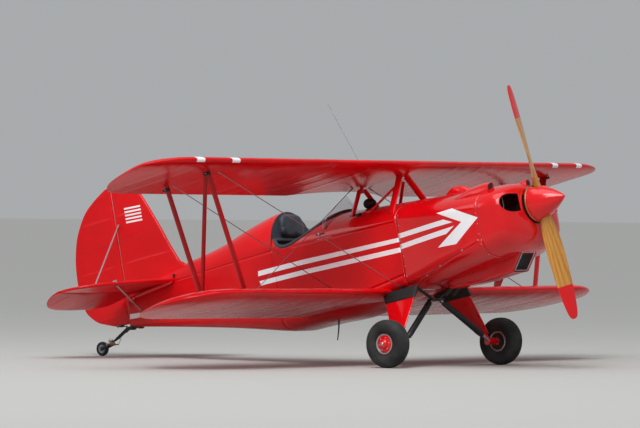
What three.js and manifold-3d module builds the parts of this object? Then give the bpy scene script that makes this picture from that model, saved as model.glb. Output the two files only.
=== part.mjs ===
// Single-seat aerobatic biplane, parked on its tail wheel
// Millimetres. The airframe is drawn level: +X forward, +Y to port, +Z up, with the propeller's thrust
// line on z = 0 and the firewall at x = 0. The whole airframe is then pitched nose up onto its wheels.
import * as THREE from "three";
import { mergeVertices } from "three/addons/utils/BufferGeometryUtils.js";
import Module from "manifold-3d";

const manifold = await Module();
manifold.setup();
const { Manifold, Mesh: ManifoldMesh } = manifold;

// Driving dimensions
const SEAM = 0.3; // gap between two pieces that touch
const RUNNING = 6; // clearance around a piece that moves
const PARK_ANGLE = 12.5; // nose-up attitude on the ground, degrees

const UPPER_SPAN = 5970;
const LOWER_SPAN = 5480;
const CHORD = 920;
const FOIL_THICKNESS = 0.115;
const FOIL_CAMBER = 0.022;
const UPPER_LE_X = 95; // leading edge at the centre line
const UPPER_LE_Z = 577;
const UPPER_SWEEP = 5.2;
const UPPER_DIHEDRAL = 1.35;
const UPPER_INCIDENCE = 4.9;
const UPPER_TIP_RAKE = 0.21; // share of a tip's lost chord that comes off its leading edge
const LOWER_LE_X = -184;
const LOWER_LE_Z = -448;
const LOWER_INCIDENCE = 2;
const LOWER_DIHEDRAL = 0.3;
const TIP_DEPTH = 500; // span taken by a rounded wing tip
const CUTOUT = { halfWidth: 620, depth: 130 };
const AILERON = { inboard: 1000, outboard: 2180, hinge: 0.775, nose: 30 };
const FRONT_SPAR = 0.23;
const REAR_SPAR = 0.72;

const WALL = 18; // fabric-covered tube side
const SHEET = 8; // cowling
const COCKPIT = { front: -700, rear: -1400, sill: 158 };
const BOWL_X = 920; // joint between the cowl and the nose bowl
const BOWL_FRONT = 1185;

const PROP = { x: 1258, radius: 990, hub: 62, turned: 10.5 };
const SPINNER = { base: 1198, tip: 1507, radius: 166 };

const AXLE = { x: 40, z: -925, half: 755 };
const TYRE = { radius: 198, width: 145, bead: 82 };
const TAIL_WHEEL = { x: -3690, radius: 62, width: 40 };

const POST_X = -3335; // rudder hinge line
const TAIL_HINGE_X = -3170; // elevator hinge line
const TAIL_Z = 165;
const ELEVATOR_DROOP = 12;

// Columns of DECK_ROWS, TAIL_ROWS, COWL_ROWS and the chin scoop's rows; CROWN is the boxiness of the
// upper half, where 2 is an ellipse
const [X, WIDTH, TOP, SHOULDER, SILL, BOTTOM, CROWN] = [0, 1, 2, 3, 4, 5, 6];
const DECK_ROWS = [
  [-1400, 288, 372, 160, -385, -538, 2],
  [-1100, 303, 362, 150, -400, -541, 1.9],
  [-740, 314, 347, 140, -405, -552, 1.85],
  [-440, 322, 319, 130, -390, -508, 1.8],
  [0, 334, 284, 120, -340, -475, 1.8],
];
const TAIL_ROWS = [
  [POST_X + 20, 26, 190, 150, -75, -118, 2],
  [-3000, 74, 232, 156, -125, -180, 2],
  [-2600, 134, 287, 158, -195, -263, 2],
  [-2100, 208, 352, 160, -275, -374, 2],
  [-1777, 250, 432, 160, -325, -452, 2],
  [-1500, 280, 484, 160, -368, -520, 2],
  [-1400, 288, 490, 160, -385, -538, 2],
];
const COWL_ROWS = [
  [0, 334, 284, 120, -340, -475, 1.8],
  [450, 404, 247, 50, -240, -440, 1.95],
  [BOWL_X, 432, 212, 10, -190, -398, 2.1],
  [1060, 408, 196, 0, -165, -372, 2.2],
  [1130, 366, 176, -5, -140, -335, 2.2],
  [1168, 300, 142, -10, -110, -285, 2.2],
  [BOWL_FRONT, 232, 96, -15, -80, -232, 2.2],
];

const deg = Math.PI / 180;
const RED = { color: 0xe3121c, roughness: 0.22, metalness: 0 };
const BLACK = { color: 0x16181b, roughness: 0.5, metalness: 0.1 };
const RUBBER = { color: 0x1c1f24, roughness: 0.85, metalness: 0 };
const STEEL = { color: 0xa9adb2, roughness: 0.35, metalness: 0.9 };
const WOOD = { color: 0xc98f3c, roughness: 0.35, metalness: 0 };
const VINYL = { color: 0x3a4250, roughness: 0.6, metalness: 0 };
const CLEAR = { color: 0xdfe8ea, roughness: 0.05, metalness: 0 };

const airframe = new THREE.Group();
airframe.rotation.y = -PARK_ANGLE * deg;

// Closed skin over rings that hold the same number of points, with a fan on each end
function loft(rings) {
  const count = rings[0].length;
  const points = rings.flat();
  const faces = [];
  rings.slice(1).forEach((_, i) => {
    for (let j = 0; j < count; j++) {
      const a = i * count + j;
      const b = i * count + ((j + 1) % count);
      faces.push([a, b, b + count], [a, b + count, a + count]);
    }
  });
  const last = (rings.length - 1) * count;
  const ends = [rings[0], rings.at(-1)].map((ring) => {
    const sum = ring.reduce((s, p) => s.map((v, k) => v + p[k]), [0, 0, 0]);
    return points.push(sum.map((v) => v / count)) - 1;
  });
  for (let j = 0; j < count; j++) {
    const next = (j + 1) % count;
    faces.push([ends[0], next, j], [ends[1], last + j, last + next]);
  }
  return closed(points, faces);
}

// Solid from points and faces, turned right side out
function closed(points, faces) {
  const volume = faces.reduce((sum, [a, b, c]) => {
    const [p, q, r] = [points[a], points[b], points[c]];
    const cross = [q[1] * r[2] - q[2] * r[1], q[2] * r[0] - q[0] * r[2], q[0] * r[1] - q[1] * r[0]];
    return sum + p[0] * cross[0] + p[1] * cross[1] + p[2] * cross[2];
  }, 0);
  const turned = volume < 0 ? faces.map(([a, b, c]) => [a, c, b]) : faces;
  const mesh = new ManifoldMesh({
    numProp: 3,
    vertProperties: new Float32Array(points.flat()),
    triVerts: new Uint32Array(turned.flat()),
  });
  mesh.merge();
  return new Manifold(mesh);
}

// Solid from a three.js geometry
function solid(geometry) {
  const places = new THREE.BufferGeometry().setAttribute("position", geometry.getAttribute("position"));
  if (geometry.index) places.setIndex(geometry.index);
  const merged = mergeVertices(places, 1e-3);
  const { array } = merged.getAttribute("position");
  const points = Array.from({ length: array.length / 3 }, (_, i) => [...array.subarray(3 * i, 3 * i + 3)]);
  const corners = merged.index.array;
  const faces = Array.from({ length: corners.length / 3 }, (_, i) => [...corners.subarray(3 * i, 3 * i + 3)]);
  return closed(
    points,
    faces.filter(([a, b, c]) => a !== b && b !== c && c !== a),
  );
}

// Box between two corners
function block(low, high) {
  const size = high.map((v, i) => v - low[i]);
  const middle = high.map((v, i) => (v + low[i]) / 2);
  return solid(new THREE.BoxGeometry(...size).translate(...middle));
}

// Round bar between two points
function rod(from, to, radius, sides = 16) {
  const [a, b] = [new THREE.Vector3(...from), new THREE.Vector3(...to)];
  const bar = new THREE.CylinderGeometry(radius, radius, a.distanceTo(b), sides);
  return solid(aim(bar, a, b));
}

// Bar with an oval section whose long side lies fore and aft
function streamlined(from, to, chord, thickness, sides = 20) {
  const [a, b] = [new THREE.Vector3(...from), new THREE.Vector3(...to)];
  const bar = new THREE.CylinderGeometry(1, 1, a.distanceTo(b), sides);
  bar.scale(chord / 2, 1, thickness / 2);
  return solid(aim(bar, a, b));
}

// Turns a bar drawn along Y so that it runs from a to b with its X side forward
function aim(bar, a, b) {
  const along = b.clone().sub(a).normalize();
  const ahead = Math.abs(along.x) > 0.9 ? new THREE.Vector3(0, 0, 1) : new THREE.Vector3(1, 0, 0);
  const across = ahead.cross(along).normalize();
  const fore = along.clone().cross(across).normalize();
  const middle = a.clone().add(b).multiplyScalar(0.5);
  bar.applyMatrix4(new THREE.Matrix4().makeBasis(fore, along, across).setPosition(middle));
  return bar;
}

// Disc-like solid turned about the Y axis from [radius, y] points
function turnedAboutY(profile, sides) {
  return solid(new THREE.LatheGeometry(profile.map(([r, y]) => new THREE.Vector2(r, y)), sides));
}

// Solid turned about the X axis from [radius, x] points
function turnedAboutX(profile, sides) {
  const lathe = new THREE.LatheGeometry(profile.map(([r, x]) => new THREE.Vector2(r, x)), sides);
  return solid(lathe.rotateZ(-Math.PI / 2));
}

// Upright prism across the airframe from an outline of [x, z] points
function sidePrism(outline, halfWidth) {
  const shape = new THREE.Shape(outline.map(([x, z]) => new THREE.Vector2(x, z)));
  const prism = new THREE.ExtrudeGeometry(shape, { depth: 2 * halfWidth, bevelEnabled: false });
  return solid(prism.translate(0, 0, -halfWidth).rotateX(Math.PI / 2));
}

// Prism along the airframe from an outline of [y, z] points
function frontPrism(outline, x0, x1) {
  const shape = new THREE.Shape(outline.map(([y, z]) => new THREE.Vector2(y, z)));
  const prism = new THREE.ExtrudeGeometry(shape, { depth: x1 - x0, bevelEnabled: false });
  const axes = [new THREE.Vector3(0, 1, 0), new THREE.Vector3(0, 0, 1), new THREE.Vector3(1, 0, 0)];
  return solid(prism.applyMatrix4(new THREE.Matrix4().makeBasis(...axes)).translate(x0, 0, 0));
}

// Largest of a solid's bodies
function largest(shape) {
  return shape.decompose().reduce((best, s) => (s.volume() > best.volume() ? s : best));
}

function mirrored(shape) {
  return shape.mirror([0, 1, 0]);
}

// Adds a solid to the airframe as one named mesh
function add(name, shape, finish) {
  const { numProp, vertProperties, triVerts } = shape.getMesh();
  const geometry = new THREE.BufferGeometry();
  const positions = new Float32Array((vertProperties.length / numProp) * 3);
  for (let i = 0; i < positions.length / 3; i++)
    positions.set(vertProperties.subarray(i * numProp, i * numProp + 3), i * 3);
  geometry.setAttribute("position", new THREE.BufferAttribute(positions, 3));
  geometry.setIndex(new THREE.BufferAttribute(triVerts, 1));
  geometry.computeVertexNormals();
  const mesh = new THREE.Mesh(geometry, new THREE.MeshStandardMaterial(finish));
  mesh.name = name;
  airframe.add(mesh);
}

// Table row at any x, on a smooth curve through the rows
function rowAt(rows, x) {
  const sorted = [...rows].sort((a, b) => a[X] - b[X]);
  const found = sorted.findIndex((row) => row[X] >= x);
  const i = found < 0 ? sorted.length - 1 : Math.max(found, 1);
  const [p, q] = [sorted[i - 1], sorted[i]];
  const [before, after] = [sorted[Math.max(i - 2, 0)], sorted[Math.min(i + 1, sorted.length - 1)]];
  const span = q[X] - p[X];
  const t = (x - p[X]) / span;
  return p.map((v, k) => {
    if (k === X) return x;
    const slopeIn = ((q[k] - before[k]) / (q[X] - before[X])) * span;
    const slopeOut = ((after[k] - v) / (after[X] - p[X])) * span;
    const [t2, t3] = [t * t, t * t * t];
    return (2 * t3 - 3 * t2 + 1) * v + (t3 - 2 * t2 + t) * slopeIn + (3 * t2 - 2 * t3) * q[k] + (t3 - t2) * slopeOut;
  });
}

// Cross-section: crowned top, flat side and rounded belly
function bodyRing(row, grow, bellyBox) {
  const half = row[WIDTH] + grow;
  const arc = (steps, from, to, rise, box) =>
    Array.from({ length: steps + 1 }, (_, i) => {
      const a = from + ((to - from) * i) / steps;
      const [c, s] = [Math.cos(a), Math.sin(a)];
      const bend = (v) => Math.sign(v) * Math.abs(v) ** (2 / box);
      return [row[X], half * bend(c), rise(bend(s))];
    });
  const crown = arc(10, 0, Math.PI, (s) => row[SHOULDER] + s * (row[TOP] + grow - row[SHOULDER]), row[CROWN]);
  const belly = arc(10, Math.PI, 2 * Math.PI, (s) => row[SILL] + s * (row[SILL] - row[BOTTOM] + grow), bellyBox);
  return [...crown, ...belly];
}

function bodyLoft(rows, places, grow = 0, bellyBox = 3.2) {
  return loft(places.map((x) => bodyRing(rowAt(rows, x), grow, bellyBox)));
}

function stations(from, to, count) {
  return Array.from({ length: count + 1 }, (_, i) => from + ((to - from) * i) / count);
}

// Half width of the crown at a height, and its height at a distance from the centre plane
function crownHalf(row, z) {
  const s = Math.min(Math.max((z - row[SHOULDER]) / (row[TOP] - row[SHOULDER]), 0), 1);
  return row[WIDTH] * (1 - s ** row[CROWN]) ** (1 / row[CROWN]);
}

function crownHeight(row, y) {
  return row[SHOULDER] + (row[TOP] - row[SHOULDER]) * (1 - (y / row[WIDTH]) ** row[CROWN]) ** (1 / row[CROWN]);
}

// Wing section: a ring of [x, y, z] points with the chord line set at the incidence
function foilRing({ x, y, z, chord, thick, incidence, camber = FOIL_CAMBER, grow = 0 }, steps = 10) {
  const [c, s] = [Math.cos(incidence * deg), Math.sin(incidence * deg)];
  const place = (u, side) => {
    const half = 5 * thick * (0.2969 * Math.sqrt(u) - 0.126 * u - 0.3516 * u ** 2 + 0.2843 * u ** 3 - 0.1036 * u ** 4);
    const height = chord * (4 * camber * u * (1 - u) + side * half) + side * (1.5 * u + grow);
    const run = chord * u + (u < 0.02 ? -grow : 0) + (u > 0.98 ? grow : 0);
    return [x - run * c + height * s, y, z - run * s + height * c];
  };
  const spread = Array.from({ length: steps + 1 }, (_, i) => (1 - Math.cos((Math.PI * i) / steps)) / 2);
  return [
    ...spread.slice().reverse().map((u) => place(u, 1)),
    ...spread.slice(1).map((u) => place(u, -1)),
  ];
}

// Spanwise places of a wing half, closer together at the tip
function spanPlaces(root, half, tip, plain) {
  const straight = stations(root, half - tip, plain);
  const round = [0.35, 0.6, 0.78, 0.9, 0.965, 0.995].map((f) => half - tip + f * tip);
  return [...straight, ...round];
}

function upperSection(y, grow = 0) {
  const out = Math.abs(y);
  const tipStart = UPPER_SPAN / 2 - TIP_DEPTH;
  const f = Math.max(0, (out - tipStart) / TIP_DEPTH);
  const share = Math.sqrt(1 - f * f);
  const cut = out < CUTOUT.halfWidth ? CUTOUT.depth * Math.cos((out / CUTOUT.halfWidth) * 90 * deg) ** 0.8 : 0;
  const full = CHORD - cut;
  const chord = full * share;
  const inset = CHORD * (1 - share) * UPPER_TIP_RAKE;
  return {
    x: UPPER_LE_X - out * Math.tan(UPPER_SWEEP * deg) - inset,
    y,
    z: UPPER_LE_Z + out * Math.tan(UPPER_DIHEDRAL * deg) - inset * Math.sin(UPPER_INCIDENCE * deg),
    chord,
    thick: (FOIL_THICKNESS * CHORD * share) / chord,
    incidence: UPPER_INCIDENCE,
    grow,
  };
}

function lowerSection(y, grow = 0) {
  const out = Math.abs(y);
  const tipStart = LOWER_SPAN / 2 - TIP_DEPTH;
  const f = Math.max(0, (out - tipStart) / TIP_DEPTH);
  const share = Math.sqrt(1 - f * f);
  const inset = (CHORD * (1 - share)) / 2;
  return {
    x: LOWER_LE_X - inset,
    y,
    z: LOWER_LE_Z + out * Math.tan(LOWER_DIHEDRAL * deg) - inset * Math.sin(LOWER_INCIDENCE * deg),
    chord: CHORD * share,
    thick: FOIL_THICKNESS,
    incidence: LOWER_INCIDENCE,
    grow,
  };
}

// Point on a wing: share of the chord from the leading edge, and height off the chord line
function onWing(section, y, share, lift = 0) {
  const s = section(y);
  const run = share * CHORD;
  return [s.x - run * Math.cos(s.incidence * deg), y, s.z - run * Math.sin(s.incidence * deg) + lift];
}

function upperWing(grow) {
  const half = spanPlaces(0, UPPER_SPAN / 2, TIP_DEPTH, 1);
  const inner = [130, 260, 380, 480, 560, 620];
  const port = [...new Set([...half, ...inner])].sort((a, b) => a - b);
  const places = [...port.slice(1).reverse().map((y) => -y), ...port];
  return loft(places.map((y) => foilRing(upperSection(y, grow))));
}

function lowerWing(grow) {
  return loft(spanPlaces(150, LOWER_SPAN / 2, TIP_DEPTH, 1).map((y) => foilRing(lowerSection(y, grow))));
}

// Fuselage

const bodyStations = stations(COCKPIT.rear, 0, 7);
const tailStations = stations(POST_X + 20, COCKPIT.rear, 10);
const cockpitBody = bodyLoft(DECK_ROWS, bodyStations);
const bothWays = (shape) => shape.add(mirrored(shape)); // what mirrored pieces are cut against
const cockpitGrown = bothWays(bodyLoft(DECK_ROWS, bodyStations, SEAM));
const cockpitSpace = bodyLoft(DECK_ROWS, stations(COCKPIT.rear - 5, 5, 7), -WALL);
const tailBody = bodyLoft(TAIL_ROWS, tailStations);
const tailGrown = bothWays(bodyLoft(TAIL_ROWS, stations(POST_X + 20 - SEAM, COCKPIT.rear, 10), SEAM));
const cowlBody = bodyLoft(COWL_ROWS, stations(SHEET + SEAM, BOWL_X - SEAM, 5));

// Everything above a line of [x, z] points, for the line's own length
function above(line, raise = 0, widen = 0) {
  const raised = line.map(([x, z]) => [x, z + raise]);
  const [left, right] = [raised[0][0] - widen, raised.at(-1)[0] + widen];
  return sidePrism([[left, raised[0][1]], ...raised, [right, raised.at(-1)[1]], [right, 900], [left, 900]], 900);
}

function between(x0, x1, y0 = -900, y1 = 900) {
  return block([x0, y0, -900], [x1, y1, 900]);
}

const deckRear = -1180;
const rimLine = [
  [COCKPIT.rear - 30, 262],
  [-1375, 240],
  [-1345, 196],
  [-1300, 168],
  [-1240, COCKPIT.sill],
  [-1150, 170],
  [-1020, 206],
  [-880, 262],
  [-780, 312],
  [COCKPIT.front, 352],
];
const longeron = (x) => rowAt(x < COCKPIT.rear ? TAIL_ROWS : DECK_ROWS, x)[SHOULDER] - 8;
const deckSeam = [...stations(deckRear, 0, 5), 60].map((x) => [x, longeron(Math.min(x, 0))]);
const turtleSeam = [POST_X - 60, ...stations(POST_X + 20, COCKPIT.rear, 6)].map((x) => [x, longeron(Math.max(x, POST_X + 20))]);
const sillSeam = [-1500, ...stations(COCKPIT.rear, 0, 4), 60].map((x) => [x, rowAt(DECK_ROWS, Math.min(Math.max(x, -1400), 0))[SILL]]);

// The cockpit shell, open along its rim, and the pieces that its panels part into
const shell = cockpitBody
  .subtract(cockpitSpace)
  .subtract(above(rimLine))
  .intersect(between(COCKPIT.rear + SEAM, -SEAM));
const deck = largest(shell.intersect(above(deckSeam, SEAM / 2)));
const walls = shell.subtract(above(deckSeam, -SEAM / 2, SEAM));
const belly = largest(walls.subtract(above(sillSeam, -SEAM / 2)));
const sides = walls.intersect(above(sillSeam, SEAM / 2));
const leftSide = largest(sides.intersect(between(-1500, 60, SEAM, 900)));
add("forward_deck", deck, RED);
add("fuselage_side_left", leftSide, RED);
add("fuselage_side_right", mirrored(leftSide), RED);
add("belly", belly, RED);

const frontRow = rowAt(COWL_ROWS, 0);
const firewall = (grow) => loft([-grow, SHEET + grow].map((x) => bodyRing([x, ...frontRow.slice(1)], grow, 3.2)));
add("firewall", firewall(0), STEEL);

const turtledeck = tailBody.intersect(above(turtleSeam, SEAM / 2));
const rearFuselage = tailBody.subtract(above(turtleSeam, -SEAM / 2));

// Cockpit furniture stands inside the shell
const inside = bodyLoft(DECK_ROWS, bodyStations, -WALL - SEAM);
const floor = inside.intersect(block([COCKPIT.rear + 1, -400, -412], [-1, 400, -400]));
add("cockpit_floor", floor, WOOD);
const panelFace = COCKPIT.front - 30;
const panel = inside.intersect(block([panelFace - 4, -400, -20], [panelFace, 400, 400])).subtract(above(rimLine, -2));
add("instrument_panel", largest(panel), BLACK);
const seatOutline = [
  [-1380, -399.7],
  [-1040, -399.7],
  [-1040, -250],
  [-1300, -280],
  [-1352, 120],
  [-1388, 120],
];
add("seat", sidePrism(seatOutline, 215), BLACK);
const stick = rod([-930, 0, -390], [-985, 0, -60], 13)
  .add(rod([-983, 0, -72], [-1004, 0, 60], 19))
  .add(rod([-930, 0, -399.7], [-930, 0, -376], 26));
add("control_stick", stick, BLACK);

// Padded rim: one roll along each side, joined over the deck in front
const rimPath = rimLine.slice(1).map(([x, z]) => {
  const row = rowAt(DECK_ROWS, x);
  return [x, crownHalf(row, z) - WALL / 2, z];
});
rimPath.push([COCKPIT.front - 2, 0, rowAt(DECK_ROWS, COCKPIT.front)[TOP] - 4]);
const rimCurve = new THREE.CatmullRomCurve3([
  ...rimPath.map((p) => new THREE.Vector3(...p)),
  ...rimPath.slice(0, -1).reverse().map(([x, y, z]) => new THREE.Vector3(x, -y, z)),
]);
const roll = new THREE.Shape().absarc(0, 0, 16, 0, 2 * Math.PI);
const coaming = solid(new THREE.ExtrudeGeometry(roll, { extrudePath: rimCurve, steps: 26, curveSegments: 3 }));
const shellGrown = bodyLoft(DECK_ROWS, bodyStations, 3 * SEAM)
  .subtract(bodyLoft(DECK_ROWS, stations(COCKPIT.rear - 5, 5, 7), -WALL - 3 * SEAM))
  .subtract(above(rimLine, 3 * SEAM));
add("cockpit_coaming", largest(coaming.subtract(shellGrown).intersect(between(COCKPIT.rear + 1, 0))), VINYL);

// Headrest pad on the turtledeck's front face
const headFace = COCKPIT.rear + SEAM + 0.2;
const padRing = (x, shrink) => {
  const row = rowAt(TAIL_ROWS, COCKPIT.rear);
  return bodyRing([x, 150 - shrink, row[TOP] - 22 - shrink, 330, 300, 262 + shrink, 2.4], 0, 3);
};
const pad = loft([padRing(headFace, 0), padRing(headFace + 34, 0), padRing(headFace + 46, 14)]);
add("headrest", pad, VINYL);

// Windshield: a bent sheet that wraps from rail to rail over the deck ahead of the cockpit
const GLASS = { front: -655, sweep: 160, lean: 95, half: 300, rise: 490, drop: 205, thick: 3.5 };
const glassRing = (a) => {
  const [ahead, aside] = [Math.cos(a * deg), Math.sin(a * deg)];
  const foot = { x: GLASS.front - GLASS.sweep * (1 - ahead), y: GLASS.half * aside, z: 215 };
  const head = {
    x: GLASS.front - GLASS.lean - 0.45 * GLASS.sweep * (1 - ahead),
    y: 0.9 * GLASS.half * aside,
    z: GLASS.rise - GLASS.drop * Math.abs(aside) ** 1.15,
  };
  const side = (inset, shares) =>
    shares.map((f) => [
      foot.x + (head.x - foot.x) * f ** 1.25 - inset * ahead,
      foot.y + (head.y - foot.y) * f - inset * aside,
      foot.z + (head.z - foot.z) * f,
    ]);
  return [...side(0, [0, 0.4, 0.7, 1]), ...side(GLASS.thick, [1, 0.7, 0.4, 0])];
};
const glass = loft(stations(-86, 86, 14).map(glassRing));
add("windshield", largest(glass.subtract(cockpitGrown)), CLEAR);

// Nose

const cowlSpace = bodyLoft(COWL_ROWS, stations(-5, BOWL_X + 5, 5), -SHEET);
const cowlShell = cowlBody.subtract(cowlSpace);
const cowlSeam = [[-20, -470], [BOWL_X + 20, -229]];
// Cooling bumps on the cowl: a forward-facing scoop to starboard and a smaller blister to port
// Columns: x, y, half width, height over the cowl
const SCOOP_BUMP = [
  [500, -172, 14, -14],
  [600, -168, 42, 14],
  [760, -158, 60, 34],
  [850, -152, 64, 42],
  [900, -150, 60, 40],
];
const BLISTER_BUMP = [
  [215, 100, 12, -14],
  [300, 102, 36, 14],
  [385, 106, 46, 26],
  [455, 110, 42, 22],
  [490, 112, 24, -8],
];
const bump = (rows) =>
  loft(
    rows.map(([x, y, half, rise]) => {
      const base = crownHeight(rowAt(COWL_ROWS, x), Math.abs(y));
      return Array.from({ length: 16 }, (_, i) => {
        const a = (i / 16) * 2 * Math.PI;
        return [x, y + half * Math.cos(a), base - 14 + (rise + 14) * Math.sin(a)];
      });
    }),
  );
const scoopMouth = rod([850, -150, 214], [925, -149, 222], 26, 18);
const scoopBump = bump(SCOOP_BUMP).subtract(scoopMouth).subtract(cowlSpace);
const blister = bump(BLISTER_BUMP).subtract(cowlSpace);
const upperCowl = cowlShell.intersect(above(cowlSeam, SEAM / 2)).add(scoopBump).add(blister);
add("cowl_upper", largest(upperCowl.subtract(between(BOWL_X - SEAM, BOWL_X + 90))), RED);
const CHIN_ROWS = [
  [250, 92, -300, -430, -484, -514, 4],
  [620, 94, -300, -400, -490, -524, 4],
  [960, 100, -300, -380, -490, -512, 4],
  [1035, 100, -300, -380, -490, -512, 4],
];
const chinBody = bodyLoft(CHIN_ROWS, stations(250, 1035, 8), 0, 6);
const chinMouth = sidePrism([[800, -376], [1060, -376], [1060, -496], [800, -496]], 86);
const chinOutlet = sidePrism([[230, -430], [420, -456], [420, -500], [230, -500]], 78);
const chinRake = sidePrism([[1036, -350], [960, -530], [1060, -530], [1060, -350]], 300);
const cowlGrown = bodyLoft(COWL_ROWS, stations(0, 1100, 20), SEAM);
const chinScoop = largest([chinRake, chinMouth, chinOutlet, cowlGrown].reduce((s, c) => s.subtract(c), chinBody));
add("chin_scoop", chinScoop, RED);
add("cowl_lower", largest(cowlShell.subtract(above(cowlSeam, -SEAM / 2))), RED);

const bowlPlaces = [BOWL_X + SEAM, 970, 1020, 1060, 1095, 1130, 1152, 1168, 1178, BOWL_FRONT];
const bowlBody = bodyLoft(COWL_ROWS, bowlPlaces, 0, 2.6);
const bowlSpace = bodyLoft(COWL_ROWS, [BOWL_X - 5, 970, 1020, 1060, 1100, 1140], -SHEET, 2.6);
const INLET = { flat: 160, round: 272, radius: 112, height: 72, z: 6 };
const inletOutline = (side) => {
  const round = stations(-90, 90, 10).map((a) => [
    INLET.round + INLET.radius * Math.cos(a * deg),
    INLET.z + INLET.height * Math.sin(a * deg),
  ]);
  const flat = [INLET.z - 64, INLET.z + 64].map((z) => [INLET.flat, z]);
  return [flat[0], ...round, flat[1]].map(([y, z]) => [side * y, z]);
};
const lipRow = (x, half, top) => bodyRing([x, half, top, 150, 140, 120, 2.4], 0, 2.4);
const bowlLip = loft([lipRow(1040, 30, 186), lipRow(1062, 52, 202), lipRow(1100, 60, 205), lipRow(1148, 60, 190)]);
const lipMouth = block([1110, -46, 168], [1160, 46, 186]);
const shaftHole = turnedAboutX([[0, 900], [95, 900], [95, 1300], [0, 1300]], 32);
const bowl = bowlBody
  .add(bowlLip)
  .subtract(lipMouth)
  .subtract(bowlSpace)
  .subtract(shaftHole)
  .subtract(frontPrism(inletOutline(1), 1040, 1250))
  .subtract(frontPrism(inletOutline(-1), 1040, 1250));
add("nose_bowl", largest(bowl), RED);

// Engine: one plain block, carried on the firewall, with the crankshaft's flange in front
const engine = block([260, -300, -250], [900, 300, 60])
  .add(block([SHEET + SEAM, -180, -200], [262, 180, 60]))
  .add(rod([890, 0, 0], [SPINNER.base - SEAM, 0, 0], 58, 24));
add("engine_block", engine, STEEL);

// Propeller: a loft of twisted sections on each side of the hub, along its own Z
// Columns: share of the radius, chord, thickness, pitch angle
const bladeRows = [
  [0.05, 84, 70, 62],
  [0.14, 102, 50, 54],
  [0.25, 134, 36, 43],
  [0.4, 156, 26, 32],
  [0.55, 163, 21, 25],
  [0.7, 157, 17, 20],
  [0.85, 136, 13, 17],
  [0.94, 108, 10, 15],
  [0.985, 74, 8, 14],
  [1, 32, 6, 14],
];
const blade = loft(
  bladeRows.map(([share, chord, thickness, pitch]) => {
    const [c, s] = [Math.cos(pitch * deg), Math.sin(pitch * deg)];
    return Array.from({ length: 14 }, (_, i) => {
      const a = (i / 14) * 2 * Math.PI;
      const [u, v] = [(chord / 2) * Math.cos(a), (thickness / 2) * Math.sin(a)];
      return [PROP.x + u * s + v * c, v * s - u * c, share * PROP.radius];
    });
  }),
);
const hub = rod([SPINNER.base + SHEET + SEAM, 0, 0], [PROP.x + 44, 0, 0], PROP.hub, 32);
const propeller = hub.add(blade).add(blade.rotate(180, 0, 0)).rotate(PROP.turned, 0, 0);
add("propeller", propeller, WOOD);

// Spinner: a pointed shell on a backplate, slotted for the blades
const noseLine = (inset) =>
  stations(0, 1, 7).map((f) => {
    const x = SPINNER.base + SHEET + f * (SPINNER.tip - inset * 2 - SPINNER.base - SHEET);
    return [Math.max((SPINNER.radius - inset) * (1 - f ** 1.75) ** 0.92, 0), x];
  });
const spinnerShape = turnedAboutX([[0, SPINNER.base], [SPINNER.radius, SPINNER.base], ...noseLine(0)], 28);
const spinnerSpace = turnedAboutX([[0, SPINNER.base + SHEET], ...noseLine(SHEET)], 28);
const bladeSlot = block([PROP.x - 54, -56, -400], [PROP.x + 54, 56, 400]).rotate(PROP.turned, 0, 0);
const spinner = spinnerShape.subtract(spinnerSpace).subtract(bladeSlot.subtract(between(0, SPINNER.base + SHEET)));
add("spinner", largest(spinner), RED);

// Wings

// Hinge of a moving surface: a lug on the fixed piece, a notch and a pin on the moving one
function hinge(fixed, moving, at, along, into, reach) {
  const tangent = new THREE.Vector3(...along).normalize();
  const inward = new THREE.Vector3(...into).normalize();
  const third = tangent.clone().cross(inward);
  const frame = new THREE.Matrix4().makeBasis(inward, third, tangent).setPosition(...at);
  const brick = (x0, x1, half, depth) =>
    solid(new THREE.BoxGeometry(x1 - x0, 2 * half, depth).translate((x0 + x1) / 2, 0, 0).applyMatrix4(frame));
  const round = (radius, length) =>
    solid(new THREE.CylinderGeometry(radius, radius, length, 12).rotateX(Math.PI / 2).applyMatrix4(frame));
  const lug = brick(0, reach, 9, 8).add(round(9, 8)).subtract(round(4.6, 30));
  const notch = brick(-22, 60, 40, 22);
  return { fixed: fixed.add(lug), moving: moving.subtract(notch).add(round(4, 24)) };
}

const aileronHinge = (y) => onWing(lowerSection, y, AILERON.hinge, RUNNING);
const lowerWhole = lowerWing(0).subtract(cockpitGrown);
const aileronZone = (grow) => {
  const [a, b] = [AILERON.inboard - grow, AILERON.outboard + grow].map(aileronHinge);
  const tail = block([a[0] - 400, a[1], a[2] - 150], [a[0], b[1], a[2] + 150]);
  return tail.add(rod(a, b, AILERON.nose + grow, 28));
};
const aileronParts = () => {
  let fixed = lowerWhole.subtract(aileronZone(RUNNING));
  let moving = largest(lowerWhole.intersect(aileronZone(0)));
  [1080, 1590, 2100].forEach((y) => {
    const next = hinge(fixed, moving, aileronHinge(y), [0, 1, 0], [1, 0, 0.03], 60);
    fixed = next.fixed;
    moving = next.moving;
  });
  return { wing: largest(fixed), aileron: largest(moving) };
};
const port = aileronParts();
add("lower_wing_left", port.wing, RED);
add("lower_wing_right", mirrored(port.wing), RED);
add("aileron_left", port.aileron, RED);
add("aileron_right", mirrored(port.aileron), RED);
add("upper_wing", upperWing(0), RED);

// What the struts and wires are trimmed against
const upperCut = upperWing(SEAM);
const lowerCut = lowerWing(SEAM);
const trim = (shape, ...cutters) => largest(cutters.reduce((s, c) => s.subtract(c), shape));

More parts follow.
